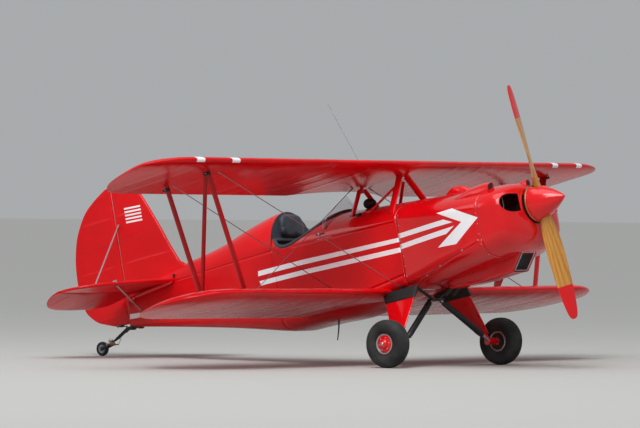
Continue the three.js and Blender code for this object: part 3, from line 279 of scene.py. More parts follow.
class Sketch:  # gathers the bodies of one piece
    def __init__(self):
        self.verts, self.faces, self.marks = [], [], []

    def add(self, points, faces, mark):
        self.verts += [tuple(p) for p in points]
        self.faces += faces
        self.marks += [mark] * len(faces)
        return self

    def loft(self, rings, mark=0, capped=True, around=False):
        start, count = len(self.verts), len(rings[0])
        faces = []
        for i in range(len(rings) if around else len(rings) - 1):
            a, b = start + i * count, start + (i + 1) % len(rings) * count
            faces += [(a + j, a + (j + 1) % count, b + (j + 1) % count, b + j) for j in range(count)]
        if capped and not around:
            last = start + (len(rings) - 1) * count
            faces += [tuple(range(start, start + count))[::-1], tuple(range(last, last + count))]
        return self.add([p for ring in rings for p in ring], faces, mark)

    def sheet(self, rows, mark=0):  # open grid
        start, count = len(self.verts), len(rows[0])
        faces = []
        for i in range(len(rows) - 1):
            a = start + i * count
            faces += [(a + j, a + j + 1, a + count + j + 1, a + count + j) for j in range(count - 1)]
        return self.add([p for row in rows for p in row], faces, mark)

    def cap(self, ring, mark=0):  # one flat face
        start = len(self.verts)
        return self.add(ring, [tuple(range(start, start + len(ring)))], mark)

    def slab(self, ring, depth, mark=0):  # a flat outline made thicker along x
        return self.loft([ring, [(x + depth, y, z) for x, y, z in ring]], mark)

    def lathe(self, profile, origin, axis, sides=48, mark=0, around=False):  # profile: radius, run
        along = Vector(axis).normalized()
        u = along.orthogonal().normalized()
        v = along.cross(u)
        rings = []
        for radius, run in profile:
            middle = Vector(origin) + along * run
            rings.append([middle + (u * cos(t) + v * sin(t)) * max(radius, 1e-5) for t in turns(sides)])
        return self.loft(rings, mark, around=around)

    def bar(self, start, end, chord, thickness, mark=0, sides=24, drop=0.35):  # drop: 0 is an ellipse
        a, b = Vector(start), Vector(end)
        along = (b - a).normalized()
        lead = Vector((0, 0, 1)) if abs(along.x) > 0.9 else Vector((1, 0, 0))
        across = lead.cross(along).normalized()
        fore = along.cross(across)
        section = []
        for t in turns(sides):
            wide = sin(t) * (1 + drop * cos(t)) / (1 + 0.1 * drop)
            section.append(fore * (chord / 2 * cos(t)) + across * (thickness / 2 * wide))
        return self.loft([[end + p for p in section] for end in (a, b)], mark)

    def tube(self, points, radius, mark=0, sides=12, closed=False):
        path = [Vector(p) for p in points]
        count = len(path)
        size = radius if isinstance(radius, (list, tuple)) else [radius] * count
        side = None
        rings = []
        for i, middle in enumerate(path):
            before = path[i - 1] if closed or i > 0 else path[i]
            after = path[(i + 1) % count] if closed or i < count - 1 else path[i]
            along = (after - before).normalized()
            side = along.orthogonal() if side is None else side - along * side.dot(along)
            side = side.normalized()
            up = along.cross(side)
            rings.append([middle + (side * cos(t) + up * sin(t)) * size[i] for t in turns(sides)])
        return self.loft(rings, mark, around=closed)

    def block(self, low, high, mark=0, edge=0.002):  # box with its edges eased
        (x0, y0, z0), (x1, y1, z1) = low, high
        rings = []
        for z, inset in ((z0, edge), (z0 + edge, 0), (z1 - edge, 0), (z1, edge)):
            ring = []
            for cx, cy, turn in ((x1, y1, 0), (x0, y1, 90), (x0, y0, 180), (x1, y0, 270)):
                sx = 1 if cx == x1 else -1
                sy = 1 if cy == y1 else -1
                for t in (radians(turn + 45 * k) for k in range(3)):
                    x = cx - sx * (edge + inset) + edge * cos(t)
                    ring.append((x, cy - sy * (edge + inset) + edge * sin(t), z))
            rings.append(ring)
        return self.loft(rings, mark)

    def opposite(self):  # the same on the other side only
        other = Sketch()
        other.verts = [(x, -y, z) for x, y, z in self.verts]
        other.faces = [face[::-1] for face in self.faces]
        other.marks = list(self.marks)
        return other

    def mirror(self):  # adds the same on the other side of the centre plane
        other, start = self.opposite(), len(self.verts)
        self.verts += other.verts
        self.faces += [tuple(start + v for v in face) for face in other.faces]
        self.marks += other.marks
        return self

    def draw(self, name, *materials, outward=False):
        mesh = bpy.data.meshes.new(name)
        mesh.from_pydata(self.verts, [], self.faces)
        mesh.polygons.foreach_set("material_index", self.marks)
        shape = openMesh(mesh)
        bmesh.ops.remove_doubles(shape, verts=shape.verts, dist=2e-6)
        bmesh.ops.recalc_face_normals(shape, faces=shape.faces)
        if outward:  # an open skin faces away from the thrust line
            away = lambda face: Vector((0, *face.calc_center_median()[1:]))
            if sum(f.normal.dot(away(f)) * f.calc_area() for f in shape.faces) < 0:
                bmesh.ops.reverse_faces(shape, faces=shape.faces)
        closeMesh(shape, mesh)
        for material in materials:
            mesh.materials.append(material)
        piece = bpy.data.objects.new(name, mesh)
        bpy.context.scene.collection.objects.link(piece)
        return piece

    def place(self, name, *materials, **parking):
        return park(self.draw(name, *materials), **parking)

    # A port piece and its mirror image, whose names, bodies and nodes end in left and right
    def placeBoth(self, name, *materials, body=None, stands=None, **parking):
        for hand, half in (("left", self), ("right", self.opposite())):
            rides = body + hand if body else "airframe"
            half.place(name + hand, *materials, body=rides, stands=stands and stands + hand, **parking)


def solidify(piece, thickness, even=True):
    wall = piece.modifiers.new("wall", "SOLIDIFY")
    wall.thickness = thickness
    wall.offset = -1
    wall.use_even_offset = even
    return piece


# Parks a drawn piece and makes it ride on its body, in place of the node that it stands for
def park(piece, body="airframe", stands=None, slot=None, sharp=35):
    piece.data.transform(toRow)
    piece.data.shade_smooth()
    piece.data.set_sharp_from_angle(angle=radians(sharp))
    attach(piece, body)
    if stands:
        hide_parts(stands)
    return piece


def cutFaces(shape, faces, point, normal):  # splits some faces along a plane
    edges = {e for f in faces for e in f.edges}
    verts = {v for f in faces for v in f.verts}
    geom = [*faces, *edges, *verts]
    bmesh.ops.bisect_plane(shape, geom=geom, dist=1e-6, plane_co=point, plane_no=normal)


def inside(outline, u, v):
    hit = False
    for (u0, v0), (u1, v1) in zip([outline[-1], *outline], outline):
        if (v0 > v) != (v1 > v) and u < (u1 - u0) * (v - v0) / (v1 - v0) + u0:
            hit = not hit
    return hit


# Cuts an outline into a skin, seen along one axis, and repaints what lies inside it, or opens it
def inOutline(piece, outline, axes=(0, 2), mark=None, only=None):
    shape = openMesh(piece.data)
    lows = [min(p[k] for p in outline) - 0.01 for k in (0, 1)]
    highs = [max(p[k] for p in outline) + 0.01 for k in (0, 1)]

    def near():
        found = []
        for face in shape.faces:
            spots = [[v.co[axis] for v in face.verts] for axis in axes]
            misses = any(max(s) < low or min(s) > high for s, low, high in zip(spots, lows, highs))
            if not misses and (only is None or only(face.calc_center_median())):
                found.append(face)
        return found

    for (u0, v0), (u1, v1) in zip(outline, outline[1:] + outline[:1]):
        point, normal = Vector(), Vector()
        point[axes[0]], point[axes[1]] = u0, v0
        normal[axes[0]], normal[axes[1]] = v1 - v0, u0 - u1
        cutFaces(shape, near(), point, normal)
    centre = lambda face: [face.calc_center_median()[axis] for axis in axes]
    faces = [face for face in near() if inside(outline, *centre(face))]
    if mark is None:
        bmesh.ops.delete(shape, geom=faces, context="FACES")
    else:
        for face in faces:
            face.material_index = mark
    closeMesh(shape, piece.data)


# Row of a table at any place, on a smooth curve through the rows
def rowAt(rows, place):
    table = sorted(rows)
    i = max(next((n for n, row in enumerate(table) if row[0] >= place), len(table) - 1), 1)
    picked = (i - 1, i, max(i - 2, 0), min(i + 1, len(table) - 1))
    p, q, before, after = (np.array(table[n], float) for n in picked)
    span = q[0] - p[0]
    t = (place - p[0]) / span
    slopeIn = (q - before) / (q[0] - before[0]) * span
    slopeOut = (after - p) / (after[0] - p[0]) * span
    start, end = (2 * t**3 - 3 * t**2 + 1) * p, (3 * t**2 - 2 * t**3) * q
    row = start + (t**3 - 2 * t**2 + t) * slopeIn + end + (t**3 - t**2) * slopeOut
    row[0] = place
    return row


# Fuselage sections. Columns: x, half width, top, shoulder, sill, bottom, boxiness of the crown
deckRows = [
    (-1.400, 0.288, 0.372, 0.160, -0.385, -0.538, 2.0),
    (-1.100, 0.303, 0.362, 0.150, -0.400, -0.541, 1.9),
    (-0.740, 0.314, 0.347, 0.140, -0.405, -0.552, 1.85),
    (-0.440, 0.322, 0.319, 0.130, -0.390, -0.508, 1.8),
    (0.000, 0.334, 0.284, 0.120, -0.340, -0.475, 1.8),
]
tailRows = [
    (-3.315, 0.026, 0.190, 0.150, -0.075, -0.118, 2),
    (-3.000, 0.074, 0.232, 0.156, -0.125, -0.180, 2),
    (-2.600, 0.134, 0.287, 0.158, -0.195, -0.263, 2),
    (-2.100, 0.208, 0.352, 0.160, -0.275, -0.374, 2),
    (-1.777, 0.250, 0.432, 0.160, -0.325, -0.452, 2),
    (-1.500, 0.280, 0.484, 0.160, -0.368, -0.520, 2),
    (-1.400, 0.288, 0.490, 0.160, -0.385, -0.538, 2),
]
cowlRows = [
    (0.000, 0.334, 0.284, 0.120, -0.340, -0.475, 1.8),
    (0.450, 0.404, 0.247, 0.050, -0.240, -0.440, 1.95),
    (0.920, 0.432, 0.212, 0.010, -0.190, -0.398, 2.1),
    (1.060, 0.408, 0.196, 0.000, -0.165, -0.372, 2.2),
    (1.130, 0.366, 0.176, -0.005, -0.140, -0.335, 2.2),
    (1.168, 0.300, 0.142, -0.010, -0.110, -0.285, 2.2),
    (1.185, 0.232, 0.096, -0.015, -0.080, -0.232, 2.2),
]
rimLine = [  # the cockpit's edge, seen from the side: x, z
    (-1.430, 0.262),
    (-1.375, 0.240),
    (-1.345, 0.196),
    (-1.300, 0.168),
    (-1.240, 0.158),
    (-1.150, 0.170),
    (-1.020, 0.206),
    (-0.880, 0.262),
    (-0.780, 0.312),
    (-0.700, 0.352),
]
hull = {
    "joint": 0.0018,  # open line between two panels
    "cloth": 0.012,  # cloth-covered side, with its tube
    "sheet": 0.003,
    "stern": -3.314,
    "rear": -1.400,  # of the cockpit
    "deckRear": -1.180,
    "deckFront": -0.700,  # of the cockpit's opening
    "front": -0.0008,
    "step": 0.03,
    "bowl": 0.920,
    "cowlSeam": ((-0.020, -0.470), (0.940, -0.229)),
}
gap = hull["joint"] / 2
ahead, abeam = (1, 0, 0), (0, 1, 0)


# Half of a section from the bottom centre up the port side to the top centre, as y and z
def halfSection(row, grow=0.0, belly=3.2):
    _, width, top, shoulder, edge, low, crown = row
    a = np.linspace(0, pi / 2, 90)
    half = width + grow
    c, s = np.clip(np.cos(a), 0, 1), np.sin(a)
    lowerY, lowerZ = half * c ** (2 / belly), edge - s ** (2 / belly) * (edge - low + grow)
    upperY, upperZ = half * c ** (2 / crown), shoulder + s ** (2 / crown) * (top + grow - shoulder)
    return np.concatenate([lowerY[::-1], upperY]), np.concatenate([lowerZ[::-1], upperZ])


# Points along it between two heights, evenly spaced
def sectionPoints(row, low, high, count, grow=0.0, belly=3.2):
    y, z = halfSection(row, grow, belly)
    run = np.concatenate([[0], np.cumsum(np.hypot(np.diff(y), np.diff(z)))])
    at = np.linspace(np.interp(low, z, run), np.interp(high, z, run), count)
    return np.interp(at, run, y), np.interp(at, run, z)


def skinRows(rows, places, low, high, count, side=1, belly=3.2, facets=0):
    grid = []
    for x in places:
        shape = belly(x) if callable(belly) else belly
        y, z = sectionPoints(rowAt(rows, x), low(x), high(x), count, 0.0, shape)
        if facets:  # cloth pulled flatter between stringers
            knots = np.linspace(0, count - 1, facets + 1)
            flatY, flatZ = (np.interp(range(count), knots, v[knots.astype(int)]) for v in (y, z))
            y, z = 0.35 * y + 0.65 * flatY, 0.35 * z + 0.65 * flatZ
        grid.append([(x, side * v, w) for v, w in zip(y, z)])
    return grid


def bothSides(*settings, **more):
    return [skinRows(*settings, side=side, **more) for side in (1, -1)]


# An open skin with white outlines painted on it, made as thick as its wall
def skin(name, material, grids, wall, white=()):
    sketch = Sketch()
    for grid in grids:
        sketch.sheet(grid)
    piece = sketch.draw(name, material, whiteEnamel, outward=True)
    for outline in white:
        inOutline(piece, outline, mark=1)
    return solidify(piece, wall)


def crownHeight(row, y):
    _, width, top, shoulder, _, _, crown = row
    return shoulder + (top - shoulder) * (1 - (abs(y) / width) ** crown) ** (1 / crown)


def hullSide(rows, x, z):  # half width of a section at a height
    y, height = halfSection(rowAt(rows, x))
    return float(np.interp(z, height, y))


bottom, crest = lambda x: -1, lambda x: 1  # past the ends of every section
rim = lambda x: float(rowAt(rimLine, x)[1])
rearLongeron = lambda x: float(rowAt(tailRows, x)[3]) - 0.008
deckLongeron = lambda x: float(rowAt(deckRows, x)[3]) - 0.008
sill = lambda x: float(rowAt(deckRows, x)[4])


def cowlSeam(x):
    (x0, z0), (x1, z1) = hull["cowlSeam"]
    return z0 + (z1 - z0) * (x - x0) / (x1 - x0)


# White stripes on the side: two that run forward from the cockpit, and an arrowhead on the cowl. x and z
sideStripes = [
    [(-1.593, 0.017), (-1.090, 0.007), (0, -0.032), (0, -0.067), (-1.090, -0.034), (-1.603, -0.025)],
    [(-1.597, -0.068), (-1.090, -0.078), (0, -0.113), (0, -0.153), (-1.090, -0.118), (-1.585, -0.108)],
]
cowlStripes = [
    [(0.000, 0.000), (0.550, 0.004), (0.646, -0.038), (0.000, -0.040)],
    [(0.000, -0.090), (0.653, -0.071), (0.557, -0.118), (0.000, -0.130)],
    [(0.484, 0.071), (0.658, 0.074), (0.916, -0.057), (0.646, -0.221), (0.441, -0.208), (0.740, -0.056)],
]
tailPatch = [(-3.290, -0.012), (-3.155, -0.024), (-3.170, -0.064), (-3.303, -0.054)]  # plain white
finStripe = [(-3.184, 0.905), (-2.995, 0.893), (-2.995, 0.878), (-3.184, 0.890)]  # the highest of five
finStripes = [[(x, z - 0.030 * k) for x, z in finStripe] for k in range(5)]


def buildFuselage():
    rear, deckRear, front, step = (hull[key] for key in ("rear", "deckRear", "front", "step"))
    places = steps(deckRear, -0.80, 0.02) + steps(-0.795, -0.69, 0.005) + steps(-0.665, front, step)
    top = lambda x: rim(x) if x < hull["deckFront"] else 1
    deck = bothSides(deckRows, places, lambda x: deckLongeron(x) + gap, top, 34)
    park(skin("deck_skin", redMetal, deck, hull["sheet"]), stands="forward_deck", slot="red_metal")

    places = steps(rear, deckRear - 0.001, 0.01) + steps(deckRear + 0.001, front, step)
    top = lambda x: rim(x) if x < deckRear else deckLongeron(x) - gap
    for hand, side in (("left", 1), ("right", -1)):
        grid = skinRows(deckRows, places, lambda x: sill(x) + gap, top, 26, side=side)
        piece = skin("side_panel_" + hand, redCloth, [grid], hull["cloth"], sideStripes)
        park(piece, stands="fuselage_side_" + hand, slot="red_fabric")
    belly = bothSides(deckRows, steps(rear, front, step), bottom, lambda x: sill(x) - gap, 22)
    park(skin("belly_skin", redCloth, belly, hull["cloth"]), stands="belly", slot="red_fabric")

    places = steps(hull["stern"], rear, step)
    upper = bothSides(tailRows, places, lambda x: rearLongeron(x) + gap, crest, 33, facets=8)
    turtle = Sketch().sheet(upper[0]).sheet(upper[1])
    turtle.cap(upper[0][-1] + upper[1][-1][-2::-1], 1)  # the bulkhead behind the headrest, in vinyl
    piece = turtle.draw("turtledeck_skin", redCloth, vinyl, outward=True)
    park(solidify(piece, hull["sheet"]), stands="turtledeck", slot="red_fabric")
    lower = bothSides(tailRows, places, bottom, lambda x: rearLongeron(x) - gap, 40)
    piece = skin("rear_skin", redCloth, lower, hull["sheet"], [*sideStripes, tailPatch])
    park(piece, stands="rear_fuselage", slot="red_fabric")
    y, z = sectionPoints(rowAt(tailRows, hull["stern"]), -1, 1, 24, -0.001)
    end = [(hull["stern"], v, w) for v, w in zip(y, z)]
    stern = Sketch().slab(end + [(x, -v, w) for x, v, w in end[-2:0:-1]], 0.006)
    stern.place("stern_post", redMetal, slot="red_metal")
    print("fuselage built")


# Bumps on the cowl, with a crisp foot. Columns: x, y, half width, height over the cowl
scoopRows = [
    (0.640, -0.330, 0.014, 0.000),
    (0.700, -0.318, 0.030, 0.016),
    (0.780, -0.305, 0.042, 0.042),
    (0.860, -0.297, 0.050, 0.052),
    (0.930, -0.290, 0.052, 0.058),
    (0.985, -0.286, 0.048, 0.056),
]
blisterRows = [
    (0.200, 0.100, 0.020, 0.000),
    (0.260, 0.102, 0.045, 0.035),
    (0.320, 0.104, 0.060, 0.070),
    (0.380, 0.106, 0.066, 0.078),
    (0.440, 0.110, 0.062, 0.070),
    (0.500, 0.112, 0.048, 0.036),
    (0.560, 0.112, 0.022, 0.000),
]


def bumpRings(rows):
    over = [(cos(a), sin(a)) for a in np.linspace(0, pi, 36)]
    rings = []
    for x in steps(rows[0][0], rows[-1][0], 0.010):
        _, y, half, rise = rowAt(rows, x)
        row = rowAt(cowlRows, x)
        top = [(y + half * bulge(c, 0.6), max(rise, 0) * s**0.75) for c, s in over]
        ring = [(x, v, crownHeight(row, v) + h) for v, h in top]
        rings.append(ring + [(x, v, crownHeight(row, v) - 0.010) for v, _ in top[::-1]])
    return rings


def shadedMouth(rows):  # a black disc on the scoop's closed front, painted shade for its open mouth
    x, y, half, rise = rows[-1]
    row = rowAt(cowlRows, x)
    ring = []
    for t in turns(40):
        v, h = 0.72 * half * bulge(cos(t), 0.7), 0.42 * rise * sin(t)
        ring.append((x + 0.0006, y + v, crownHeight(row, y + v) + 0.52 * rise + h))
    return ring


def buildCowl():
    places = steps(-hull["front"], hull["bowl"] - 0.0007, 0.025)
    upper = bothSides(cowlRows, places, lambda x: cowlSeam(x) + gap, crest, 60)
    piece = skin("cowl_upper_skin", redMetal, upper, hull["sheet"], cowlStripes)
    park(piece, stands="cowl_upper", slot="red_metal")
    lower = bothSides(cowlRows, places, bottom, lambda x: cowlSeam(x) - gap, 30)
    piece = skin("cowl_lower_skin", redMetal, lower, hull["sheet"])
    park(piece, stands="cowl_lower", slot="red_metal")

    # the scoop's black mouth disc is painted shade
    scoop = Sketch().loft(bumpRings(scoopRows)).slab(shadedMouth(scoopRows), 0.0014, 1)
    scoop.place("scoop_fairing", redMetal, blackCoat, slot="red_metal", sharp=50)
    blister = Sketch().loft(bumpRings(blisterRows))
    blister.place("blister_fairing", redMetal, blackCoat, slot="red_metal", sharp=50)
    print("cowl built")


# Nose bowl: rounds the cowl in towards the spinner, with an air inlet on each side
inlet = {"flat": 0.190, "round": 0.272, "radius": 0.104, "height": 0.080, "z": 0.014, "corner": 0.072}
bowl = {
    "back": 0.9207,
    "front": 1.185,
    "lip": ((0.180, 1.1865), (0.168, 1.187), (0.160, 1.184)),  # round the spinner: radius, x
    # the inner face behind the spinner, painted black as shade in the gap
    "shadedRecess": ((0.160, 1.184), (0.152, 1.172), (0.120, 1.165), (0.095, 1.165)),
    "wall": 0.004,
    "scoopFoot": 0.150,  # height of the small scoop's middle
}
bowlScoopRows = [  # x, half width, top
    (1.030, 0.014, 0.182),
    (1.060, 0.024, 0.200),
    (1.100, 0.032, 0.206),
    (1.135, 0.034, 0.211),
    (1.156, 0.033, 0.212),
]


def inletOutline(side, grow=0.0):
    points = []
    for a in np.linspace(-90, 90, 23):
        c, s = cos(radians(a)), sin(radians(a))
        y = inlet["round"] + (inlet["radius"] + grow) * max(c, 0) ** 0.9
        points.append((side * y, inlet["z"] + (inlet["height"] + grow) * bulge(s, 0.95)))
    flat, corner = inlet["flat"] - grow, inlet["corner"] + grow
    return points + [(side * flat, inlet["z"] + v) for v in (corner, -corner)]


def bowlShape(x):  # the belly loses its squareness towards the front
    return 3.2 - 0.6 * rising(x, hull["bowl"], 0.12)


def bowlDepth(y, z):  # x of the bowl's face at a point seen from ahead
    best = 0.93
    for x in np.linspace(0.93, bowl["front"], 120):
        width, height = halfSection(rowAt(cowlRows, x), 0, bowlShape(x))
        if height[0] < z < height[-1] and np.interp(z, height, width) >= abs(y):
            best = x
    return best


def bowlFace(edge, side, table):  # rows that follow the bowl's front edge inwards
    face = []
    for radius, x in table:
        row = []
        for k, (_, y, z) in enumerate(edge):
            a = pi * k / (len(edge) - 1)
            size = min(radius, 0.97 * hypot(y, z))
            row.append((x, side * size * sin(a), -size * cos(a)))
        face.append(row)
    return face


def buildBowl():
    places = steps(bowl["back"], 1.10, 0.012) + steps(1.106, 1.160, 0.006)
    places += steps(1.1625, bowl["front"], 0.0025)
    sketch = Sketch()
    for grid, side in zip(bothSides(cowlRows, places, bottom, crest, 61, belly=bowlShape), (1, -1)):
        sketch.sheet(grid + bowlFace(grid[-1], side, bowl["lip"]))
        # the recess behind the spinner is painted black, as shade
        sketch.sheet(bowlFace(grid[-1], side, bowl["shadedRecess"]), mark=2)
    piece = sketch.draw("bowl_skin", redMetal, whiteEnamel, blackCoat, outward=True)
    for side in (1, -1):
        inOutline(piece, inletOutline(side), axes=(1, 2), only=lambda c: c.x > 1.0)
    park(solidify(piece, bowl["wall"], even=False), stands="nose_bowl", slot="red_metal")

    lips = Sketch()
    for side in (1, -1):
        path = [(bowlDepth(y, z) - 0.001, y, z) for y, z in inletOutline(side, 0.001)]
        lips.tube(path, 0.0045, closed=True, sides=10)
    lips.place("inlet_lips", redMetal, slot="red_metal")

    foot = bowl["scoopFoot"]
    rings = []
    for x, half, top in bowlScoopRows:
        rings.append([(x, half * bulge(cos(t), 0.8), foot + (top - foot) * sin(t)) for t in turns(36)])
    scoop = Sketch().loft(rings)
    # a black disc on the scoop's closed front, painted shade for its mouth
    scoop.slab([(1.1565, 0.024 * cos(t), 0.182 + 0.022 * sin(t)) for t in turns(28)], 0.001, 1)
    scoop.place("bowl_scoop", redMetal, blackCoat, slot="red_metal")
    print("nose bowl built")


# Chin scoop: a long box under the cowl whose raked mouth shows a framed wire screen
chinRows = [
    (0.250, 0.092, -0.300, -0.430, -0.484, -0.514, 4),
    (0.620, 0.094, -0.300, -0.400, -0.490, -0.524, 4),
    (0.960, 0.100, -0.300, -0.380, -0.490, -0.512, 4),
    (1.035, 0.100, -0.300, -0.380, -0.490, -0.512, 4),
]
chin = {
    "rake": ((1.064, -0.355), (0.936, -0.508)),  # the mouth's top and bottom
    "low": -0.501,
    "high": -0.374,
    "half": 0.082,
    "inward": 0.004,
    "wire": 0.0009,
    "mesh": 0.011,
    "depth": 0.030,  # of the black sheet behind the screen, painted shade for the dark duct
}


def rakeX(z):
    (x0, z0), (x1, z1) = chin["rake"]
    return x0 + (x1 - x0) * (z - z0) / (z1 - z0)


def buildChin():
    start, end = chinRows[0][0], chinRows[-1][0]
    rings = []
    for share in np.linspace(0, 1, 28):
        y, z = sectionPoints(rowAt(chinRows, start + share * (end - start)), -1, 1, 40, 0, 6)
        full = list(zip(y, z)) + [(-v, w) for v, w in zip(y[-2:0:-1], z[-2:0:-1])]
        rings.append([(start + share * (rakeX(w) - start), v, w) for v, w in full])
    piece = Sketch().loft(rings, capped=False).draw("chin_skin", redMetal, whiteEnamel)
    park(solidify(piece, hull["sheet"]), stands="chin_scoop", slot="red_metal")

    low, high, half, mesh, thin = (chin[key] for key in ("low", "high", "half", "mesh", "wire"))
    at = lambda y, z, deep=chin["inward"]: (rakeX(z) - deep, y, z)
    corners = ((half, low), (half, high), (-half, high), (-half, low))
    loop = [at(y, z) for y, z in corners]
    screen = Sketch()
    for a, b in zip(loop, loop[1:] + loop[:1]):
        screen.bar(a, b, 0.009, 0.007, 0, 12, 0)
    for y in steps(-half, half, mesh):
        screen.tube([at(y, low), at(y, high)], thin, 1, 5)
    for z in steps(low, high, mesh):  # woven just behind the upright wires
        screen.tube([at(y, z, chin["inward"] + 0.001) for y in (-half, half)], thin, 1, 5)
    # a black sheet behind the screen: painted shade for the inside of the duct
    screen.slab([at(y, z, chin["depth"]) for y, z in corners], -0.004, 2)
    screen.place("chin_screen", paleAlloy, blackCoat, blackCrackle, slot="bare_steel")
    print("chin scoop built")


# Engine: a flat four, seen through the inlets
engine = {
    "case": (0.260, 0.900),
    "cylinders": (0.430, 0.790),
    "bore": 0.066,
    "fin": 0.105,
    "fins": 17,
    "finPitch": 0.0095,
    "head": (0.262, 0.296),  # rocker cover, from the centre plane
    "pipes": (0.43, 0.76),
}


def finnedBarrel():
    bore, fin = engine["bore"], engine["fin"]
    profile = [(bore, 0.10)]
    for k in range(engine["fins"]):
        run = 0.115 + k * engine["finPitch"]
        profile += [(bore, run), (fin, run + 0.0005), (fin, run + 0.002), (bore, run + 0.0025)]
    return [*profile, (bore, 0.280)]


def buildEngine():
    sketch = Sketch()
    x0, x1 = engine["case"]
    sketch.block((x0, -0.120, -0.170), (x1, 0.120, 0.050), 0, 0.02)
    shaft = [(0.058, 0), (0.058, 0.296), (0.072, 0.297), (0.072, 0.3)]
    sketch.lathe(shaft, (0.896, 0, 0), ahead, 32)
    sketch.block((0.009, -0.170, -0.190), (x0 + 0.02, 0.170, 0.050), 0, 0.02)
    for side in (1, -1):
        y0, y1 = sorted(side * v for v in engine["head"])
        for x in engine["cylinders"]:
            sketch.lathe(finnedBarrel(), (x, 0, -0.045), (0, side, 0), 32, 2)
            sketch.block((x - 0.075, y0, -0.125), (x + 0.075, y1, 0.010), 0, 0.012)
    for side in (1, -1):
        for x in engine["pipes"]:
            bend = ((0.05, 0.10, -0.150), (0.06, 0.18, -0.190), (0.04, 0.27, -0.170))
            sketch.tube([(x + u, side * v, w) for u, v, w in bend], 0.022, 1, 14)
    sketch.place("engine", castAlloy, blackCoat, paleAlloy, stands="engine_block", slot="engine_metal")

    baffles = Sketch()
    leads = ((0.93, 0.19, 0.05, 0.03), (0.90, 0.21, 0.05, 0.045), (0.82, 0.24, 0.03, 0.03))  # x, y, apart, z
    for side in (1, -1):
        y0, y1 = sorted((side * 0.150, side * 0.340))
        baffles.block((0.900, y0, 0.058), (1.010, y1, 0.062), 0, 0.001)
        baffles.block((0.640, y0, -0.150), (0.644, y1, 0.110), 0, 0.001)
        for k in range(2):
            baffles.tube([(x, side * (y + apart * k), z) for x, y, apart, z in leads], 0.004, 1, 8)
        baffles.tube([(1.045, side * 0.235, z) for z in (-0.075, 0.085)], 0.004, 1, 8)
        knob = [(0.007, -0.002), (0.007, 0.002), (0.004, 0.005)]
        baffles.lathe(knob, (1.048, side * 0.235, 0.020), ahead, 12, 1)
    baffles.place("engine_baffles", blackCoat, paleAlloy, slot="black_steel")
    print("engine built")


# Propeller. Columns: share of the radius, chord, thickness, pitch in degrees
bladeRows = [
    (0.05, 0.084, 0.070, 62),
    (0.14, 0.102, 0.050, 54),
    (0.25, 0.134, 0.036, 43),
    (0.40, 0.156, 0.026, 32),
    (0.55, 0.163, 0.021, 25),
    (0.70, 0.157, 0.017, 20),
    (0.85, 0.136, 0.013, 17),
    (0.94, 0.108, 0.010, 15),
    (0.985, 0.074, 0.008, 14),
    (1.00, 0.032, 0.006, 14),
]
prop = {
    "x": 1.258,
    "radius": 0.990,
    "tipPaint": 0.715,  # share of the radius
    "base": 1.198,
    "tip": 1.507,
    "spinner": 0.151,
    "plate": 0.016,
    "shell": 0.004,
    "slot": 0.050,  # radius of the opening for a blade's root
}


def bladeRings():
    rings = []
    for share in [*steps(0.05, 0.94, 0.02), 0.955, 0.97, 0.98, 0.988, 0.995, 1.0]:
        _, chord, thickness, pitch = rowAt(bladeRows, share)
        c, s = cos(radians(pitch)), sin(radians(pitch))
        ring = []
        for t in turns(40):
            u = chord / 2 * cos(t)
            camber = 0.12 * thickness * (1 - (2 * u / chord) ** 2)
            v = thickness / 2 * sin(t) * (1 - 0.22 * cos(t)) + camber
            ring.append((prop["x"] + u * s + v * c, v * s - u * c, share * prop["radius"]))
        rings.append(ring)
    return rings


def buildPropeller():
    turned = Matrix.Rotation(radians(bladesTurned), 4, "X")
    rings = bladeRings()
    split = next(i for i, ring in enumerate(rings) if ring[0][2] > prop["tipPaint"] * prop["radius"])
    sketch = Sketch()
    for way in (1, -1):
        blade = [[(x, way * y, way * z) for x, y, z in ring] for ring in rings]
        sketch.loft(blade[: split + 1], capped=False)
        sketch.loft(blade[split:], mark=1, capped=False)
        sketch.cap(blade[0]).cap(blade[-1], 1)
    hub = [(0.06, 0), (0.062, 0.003), (0.062, 0.090), (0.059, 0.093)]
    sketch.lathe(hub, (prop["x"] - 0.050, 0, 0), ahead, 48)
    piece = sketch.draw("propeller_blades", maple, redMetal)
    piece.data.transform(turned)
    park(piece, "propeller_assembly", "propeller", "prop_wood", sharp=50)

    start = prop["base"] + prop["plate"]
    shares = np.linspace(0, 0.995, 46) ** 0.9
    profile = [(prop["spinner"] * (1 - f**1.45) ** 0.92, start + f * (prop["tip"] - start)) for f in shares]
    profile.append((0.0005, prop["tip"]))
    shell = Sketch().lathe(profile, (0, 0, 0), ahead, 96).draw("spinner_shell", redMetal)
    shape = openMesh(shell.data)
    bmesh.ops.delete(shape, geom=[f for f in shape.faces if len(f.verts) > 4], context="FACES_ONLY")
    closeMesh(shape, shell.data)
    slot = [(prop["x"] + prop["slot"] * cos(t), prop["slot"] * sin(t)) for t in turns(24)]
    for side in (1, -1):
        inOutline(shell, slot, axes=(0, 1), only=lambda c, s=side: c.z * s > 0.02)
    solidify(shell, prop["shell"], even=False).data.transform(turned)
    park(shell, "propeller_assembly", "spinner", "red_metal")

    wide, deep, edge = prop["spinner"] + 0.003, prop["plate"] - 0.0005, 0.002
    outer = [(wide - edge, 0), (wide, edge), (wide, deep - edge), (wide - edge, deep)]
    disc = [(0.020, 0), *outer, (0.020, deep)]
    plate = Sketch().lathe(disc, (prop["base"], 0, 0), ahead, 96)
    plate.place("spinner_backplate", brass, body="propeller_assembly", slot="bare_steel")
    print("propeller built")


